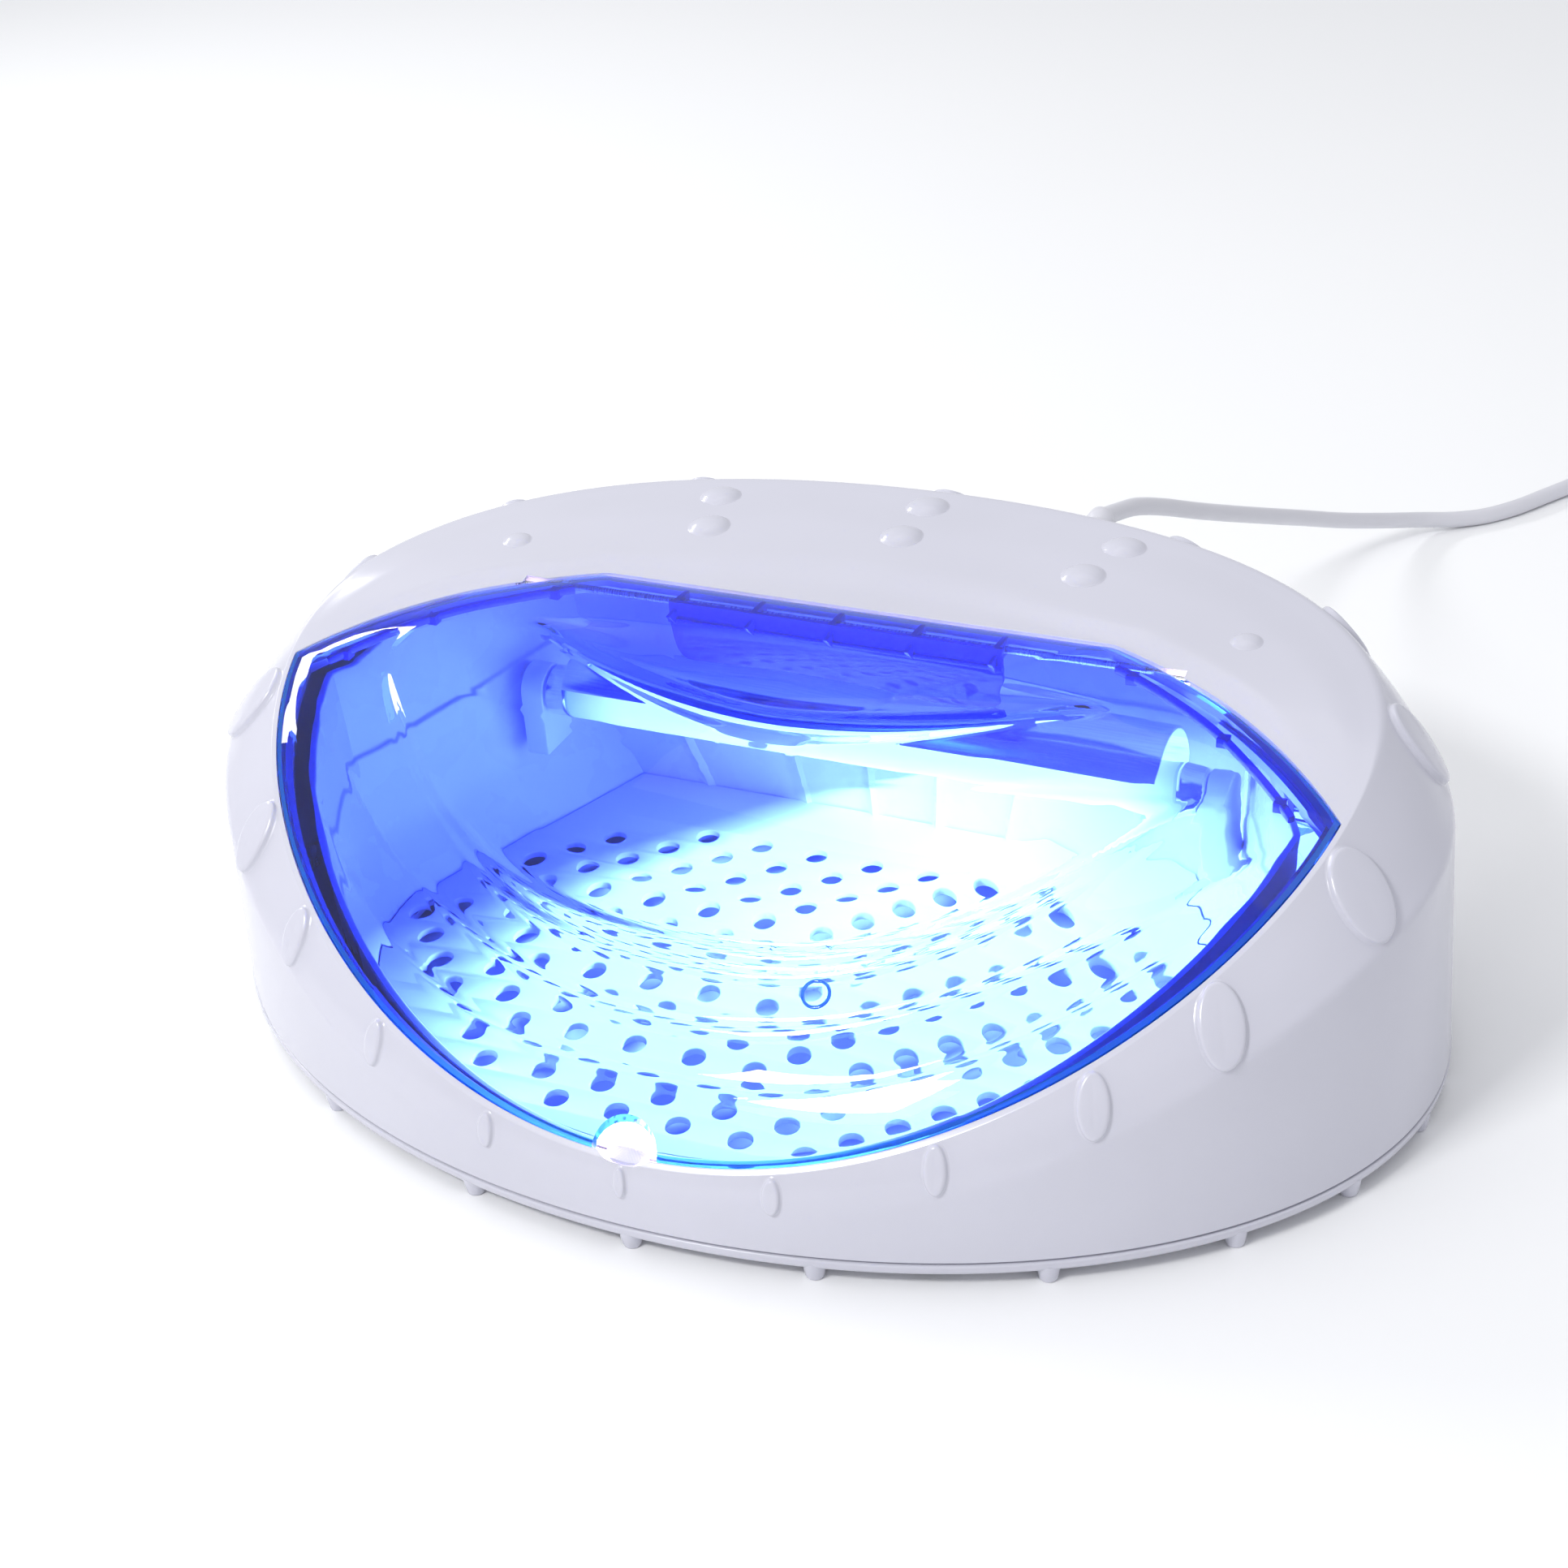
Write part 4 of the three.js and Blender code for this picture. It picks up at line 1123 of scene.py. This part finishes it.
def make_saddles():
    """Blocks with an open slot that the ends of the rod lie in."""
    half, slot, foot, top = 2.2, 1.3, 98.5, HINGE_Z + 0.8
    slot_arc = np.linspace(0, -math.pi, 13)
    outline = [(HINGE_Y - half, foot), (HINGE_Y + half, foot), (HINGE_Y + half, top), (HINGE_Y + slot, top)]
    outline += [(HINGE_Y + slot * math.cos(a), HINGE_Z + slot * math.sin(a)) for a in slot_arc]
    outline += [(HINGE_Y - slot, top), (HINGE_Y - half, top)]
    for word, side in SIDES:
        x = sorted((side * 106, side * 113))
        node = f"hinge_bearing_{word}"
        block = softened(prism(node + "_block", outline, *x, "yz", FITTING), 0.2)
        placed(shaded(block), "root", [node])


make_hinge_frame()
make_lid_ribs()
make_gate_mark()
make_hinge_rod()
make_saddles()


# ---- lamp
CAP_LENGTH = 7.6
HOLDER_DEPTH = 7.6
LAMP_AXIS = (0, LAMP_Y, LAMP_Z)


def make_tube():
    line = turned_bar(LAMP_HALF - CAP_LENGTH - 0.2, TUBE_R, 0.5, 0.6)
    glass = lathe("tube_glass", line, "x", LAMP_AXIS, LIT, 64)
    placed(shaded(glass), "lamp", ["uv_tube"])


def make_cap(word, side):
    """A rolled metal cap with its two pins."""
    inner, outer, tip = LAMP_HALF - CAP_LENGTH, LAMP_HALF, LAMP_HALF + PIN_REACH
    bead, drum = TUBE_R + 0.12, TUBE_R - 0.1
    shell = [
        (0, inner), (TUBE_R - 0.2, inner), (bead, inner + 0.5), (bead, inner + 1.3),
        (drum, inner + 1.7), (drum, outer - 0.9), (TUBE_R - 0.9, outer), (0, outer),
    ]
    pin = [(0, outer - 1), (1.2, outer - 1), (1.2, tip - 0.6), (0.7, tip), (0, tip)]
    parts = [lathe("cap", [(r, side * x) for r, x in shell], "x", LAMP_AXIS, BRIGHT_SHEET, 56)]
    for across in (-PIN_SPREAD, PIN_SPREAD):
        centre = (0, LAMP_Y + across, LAMP_Z)
        parts.append(lathe("pin", [(r, side * x) for r, x in pin], "x", centre, BRIGHT_SHEET, 20))
    made = joined(f"tube_cap_{word}_shell", parts)
    placed(shaded(made), "lamp", [f"tube_cap_{word}"])


def make_lampholder(word, side):
    """An arched block with a round pocket for the lamp's pins."""
    face = LAMP_HALF + GAP
    arch = [(LAMP_Y - 8, LAMP_Z - 20), (LAMP_Y + 8, LAMP_Z - 20)]
    arch += [(LAMP_Y + 8 * math.cos(a), LAMP_Z + 8 * math.sin(a)) for a in np.linspace(0, math.pi, 25)]
    inner, outer = sorted((side * face, side * (face + HOLDER_DEPTH)))
    node = f"lampholder_{word}"
    block = softened(prism(node + "_block", arch, inner, outer, "yz", FITTING), 0.5, 3)
    cut(block, [drill(4.4, side * (face - 1), side * (face + 6.4), "x", LAMP_AXIS, 40, FITTING)])
    placed(shaded(block), "root", [node])


make_tube()
for word, side in SIDES:
    make_cap(word, side)
for word, side in SIDES:
    make_lampholder(word, side)


def make_reflector():
    """A bent sheet over and behind the tube."""
    radius, sheet, half = 17, 0.8, 95
    angles = np.radians(np.linspace(-50, 150, 64))

    def arc(bend, turns):
        return [(LAMP_Y + 1 + bend * math.cos(a), LAMP_Z + bend * math.sin(a)) for a in turns]

    outline = arc(radius, angles) + arc(radius + sheet, angles[::-1])
    made = prism("bent_reflector", outline, -half, half, "yz", BRIGHT_SHEET)
    placed(shaded(softened(made, 0.15), 30), "root", ["lamp_reflector"])


make_reflector()


# ---- control gear and switch
KEPT_PARTS = {
    "ballast_core": CORE, "ballast_winding": WINDING, "terminal_block": DARK, "interlock_switch": DARK,
    "starter_socket": FITTING, "starter": FITTING, "lamp_lead_left": LEAD, "lamp_lead_right": LEAD,
    "switch_lead": LEAD,
}
for node, material in KEPT_PARTS.items():
    nodes[node].data.materials.clear()
    nodes[node].data.materials.append(material)


def make_plunger():
    low, high = (corner[2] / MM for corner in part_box("switch_plunger"))
    line = [(0, low), (1.2, low), (1.2, high - 0.8), (0.95, high - 0.25), (0.5, high), (0, high)]
    made = lathe("plunger_stem", line, "z", PLUNGER_AT, PLUNGER, 28)
    placed(shaded(made), "plunger", ["switch_plunger"])


make_plunger()


# ---- mains cord
COIL_CENTRE = np.array([198.7, 414.4])
COIL_OUT, COIL_IN = 36, 29.8
LAYER_HEIGHT = 6.2
COIL_START = 149  # degrees; the cord meets the coil here and runs clockwise
PLUG_X = COIL_CENTRE[0] + COIL_OUT + 1
PLUG_REAR = 342
PLUG_LENGTH = 35
PLUG_Z = 7.05


def smooth_path(knots, spacing=3.0):
    """A Catmull-Rom curve through the knots, in short steps."""
    knots = [np.array(k, float) for k in knots]
    padded = [2 * knots[0] - knots[1], *knots, 2 * knots[-1] - knots[-2]]
    path = []
    for a, b, c, d in zip(padded, padded[1:], padded[2:], padded[3:]):
        steps = max(2, int(np.linalg.norm(c - b) / spacing))
        for t in np.linspace(0, 1, steps, endpoint=False):
            path.append(0.5 * (2 * b + (c - a) * t + (2 * a - 5 * b + 4 * c - d) * t**2
                               + (3 * b - a - 3 * c + d) * t**3))
    path.append(knots[-1])
    return path


def coil_path():
    """Turns side by side and on each other: outer, inner, up a layer, outer, and so on."""
    stages = [  # degrees turned, radius, layer
        (0, COIL_OUT, 0), (300, COIL_IN, 0), (600, COIL_IN, 1), (900, COIL_OUT, 1),
        (1200, COIL_OUT, 2), (1500, COIL_IN, 2), (1800, COIL_IN, 3), (2100, COIL_OUT, 3),
    ]
    path = []
    for turned in np.arange(6, 2309, 6):
        done = [s for s in stages if s[0] <= turned]
        now, before = done[-1], done[max(len(done) - 2, 0)]
        blend = float(ease(turned, now[0], now[0] + 60)) if len(done) > 1 else 1
        radius = before[1] + (now[1] - before[1]) * blend
        layer = before[2] + (now[2] - before[2]) * blend
        a = math.radians(COIL_START - turned)
        x, y = COIL_CENTRE + radius * np.array([math.cos(a), math.sin(a)])
        path.append(np.array([x, y, CORD_R + layer * LAYER_HEIGHT]))
    return path


def make_cord():
    route = [
        EXIT, (39, 161, 86), (41, 176, 81.4), (44, 196, 72.4), (48.5, 217, 62), (54, 240, 51),
        (60.5, 263, 40.3), (68, 286, 29.8), (77, 308, 19.8), (87.5, 328, 11.8), (98.5, 343.5, 6.4),
        (109.5, 352.5, 3.8), (120, 360.5, 3), (129.5, 371, 3), (137.4, 383, 3), (144.7, 394.3, 3),
        (150.5, 404, 3), (156.2, 413.4, 3), (162, 423.1, 3), (167.84, 432.94, 3),
    ]
    tail = [
        (234.7, 414.4, CORD_R + 3 * LAYER_HEIGHT), (235, 403, 20.8), (235.3, 391.5, 18.6),
        (PLUG_X, 382, 15.4), (PLUG_X, 372, 11.8), (PLUG_X, 362, 9), (PLUG_X, 352, 7.4),
        (PLUG_X, PLUG_REAR + 0.4, 7),
    ]
    start = EXIT - np.array([0, 3, -0.35])
    path = smooth_path([start, *route]) + coil_path() + smooth_path(tail)
    curve = bpy.data.curves.new("mains_cord", "CURVE")
    curve.dimensions = "3D"
    curve.bevel_depth = CORD_R * MM
    curve.bevel_resolution = 5
    curve.use_fill_caps = True
    spline = curve.splines.new("POLY")
    spline.points.add(len(path) - 1)
    for place, point in zip(spline.points, path):
        place.co = (*(point * MM), 1)
    spline.use_smooth = True
    curve.materials.append(CORD)
    flex = bpy.data.objects.new("mains_cord", curve)
    scene.collection.objects.link(flex)
    placed(flex, "root", ["power_cord", "cord_coil", "cord_tail"])
    length = sum(np.linalg.norm(b - a) for a, b in zip(path, path[1:])) * MM
    return flex, length


def make_sleeve():
    """The ribbed strain relief that the cord leaves the housing through."""
    line = [(0, 113.6), (6.8, 113.6), (6.8, 116), (5.6, 116), (5.6, 130.4), (5.3, 131.2)]
    rib_pitch = 2.4
    for rib in range(5):
        y = 131.6 + rib * rib_pitch
        radius = 5.2 - 0.2 * rib
        line += [(radius, y), (radius, y + 1.2), (radius - 0.9, y + 1.5), (radius - 0.9, y + 2.1)]
    line += [(3.9, 144.6), (4.6, 145.6), (4.6, 149.6), (4.2, 150.4), (3.5, 150.8), (0, 150.8)]
    sleeve = lathe("cord_sleeve", line, "y", (EXIT[0], 0, EXIT[2]), CORD, 48)
    return placed(shaded(sleeve, 40), "root", ["strain_relief"])


def make_plug():
    """A flat two-pin plug: a lofted body with grip ribs, and pins with rounded tips."""
    rows = []
    sections = [  # place from the rear, half width, half height
        (0, 4.6, 4.4), (1, 5.2, 4.9), (4, 8.6, 5.6), (8, 13.2, 6.3), (12, 16.6, 6.7), (15, 17.4, 6.8),
        (19, 17.4, 6.8), (23, 17.2, 6.8), (27, 16.0, 6.8), (31, 14.0, 6.8), (33.8, 12.6, 6.7),
        (34.7, 12.2, 6.4), (35, 11.4, 5.8),
    ]
    knots, widths, heights = zip(*sections)
    reach = np.linspace(0, PLUG_LENGTH, 71)
    half_wide = np.interp(reach, knots, widths)
    half_tall = np.interp(reach, knots, heights)
    for y, wide, tall in zip(reach, half_wide, half_tall):
        grip = 0.55 * max(math.sin(y * 2 * math.pi / 2.8), 0) if 14 < y < 24 else 0
        row = []
        for a in full_turn(64):
            c, s = math.cos(a), math.sin(a)
            x = math.copysign(abs(c) ** 0.45, c) * (wide - grip)
            z = math.copysign(abs(s) ** 0.6, s) * tall
            row.append((PLUG_X + x, PLUG_REAR - y, PLUG_Z + z))
        rows.append(row)
    front = PLUG_REAR - PLUG_LENGTH
    ends = [(PLUG_X, PLUG_REAR, PLUG_Z), (PLUG_X, front, PLUG_Z)]
    body = skin("plug_shell", rows, CORD, poles=ends)
    placed(shaded(body, 35), "root", ["plug_body"])
    pins = []
    pin_line = [
        (0, front + 1), (1.9, front + 1), (1.9, front - 9.6), (2.0, front - 10), (2.0, front - 17.4),
        (1.5, front - 18.6), (0.8, front - 19), (0, front - 19),
    ]
    for word, side in SIDES:
        node = f"plug_pin_{word}"
        pin = lathe(node + "_turned", pin_line, "y", (PLUG_X + side * 9.3, 0, 7), NICKEL, 28)
        pins.append(placed(shaded(pin), "root", [node]))
    return [body, *pins]


cord, cord_length = make_cord()
sleeve = make_sleeve()
plug = make_plug()


# ---- floor and light
def make_floor():
    look = Look("floor_paint", (0.94, 0.945, 0.95), 0.6)
    look.tinted(look.noise(3, 2), 0.995, 1.005)
    half = 4000
    floor = box("floor", (-half, half), (-half, half), (-20, 0), look.material)


def make_area(name, place, target, size, power, color=(1, 1, 1), inside=False):
    data = bpy.data.lights.new(name, "AREA")
    data.shape = "RECTANGLE"
    data.size, data.size_y = size
    data.energy = power
    data.color = color
    lamp = bpy.data.objects.new(name, data)
    scene.collection.objects.link(lamp)
    lamp.location = place
    aim = Vector(target) - Vector(place)
    lamp.rotation_mode = "QUATERNION"
    lamp.rotation_quaternion = aim.to_track_quat("-Z", "Y")
    lamp.visible_camera = False
    if inside:
        lamp.visible_transmission = False
        lamp.visible_glossy = False


def make_light():
    world = bpy.data.worlds.new("studio")
    world.use_nodes = True
    world.node_tree.nodes["Background"].inputs["Color"].default_value = (0.95, 0.96, 1.0, 1)
    world.node_tree.nodes["Background"].inputs["Strength"].default_value = 0.66
    scene.world = world
    make_area("key_softbox", (-0.36, -0.98, 1.15), (0, 0, 0.05), (0.34, 0.2), 10)
    make_area("side_strip", (-1.1, 0.35, 0.75), (0, 0, 0.08), (0.8, 0.12), 5)
    make_area("overhead", (0.1, 0.35, 1.5), (0, 0, 0.05), (1.6, 1.1), 3)
    make_area("lamp_throw", (0.022, 0.034, 0.05), (0.036, 0.022, 0.01), (0.15, 0.012), 36,
              (1.0, 0.8, 1.0), inside=True)


make_floor()
make_light()
scene.view_settings.view_transform = "Standard"
scene.view_settings.look = "None"
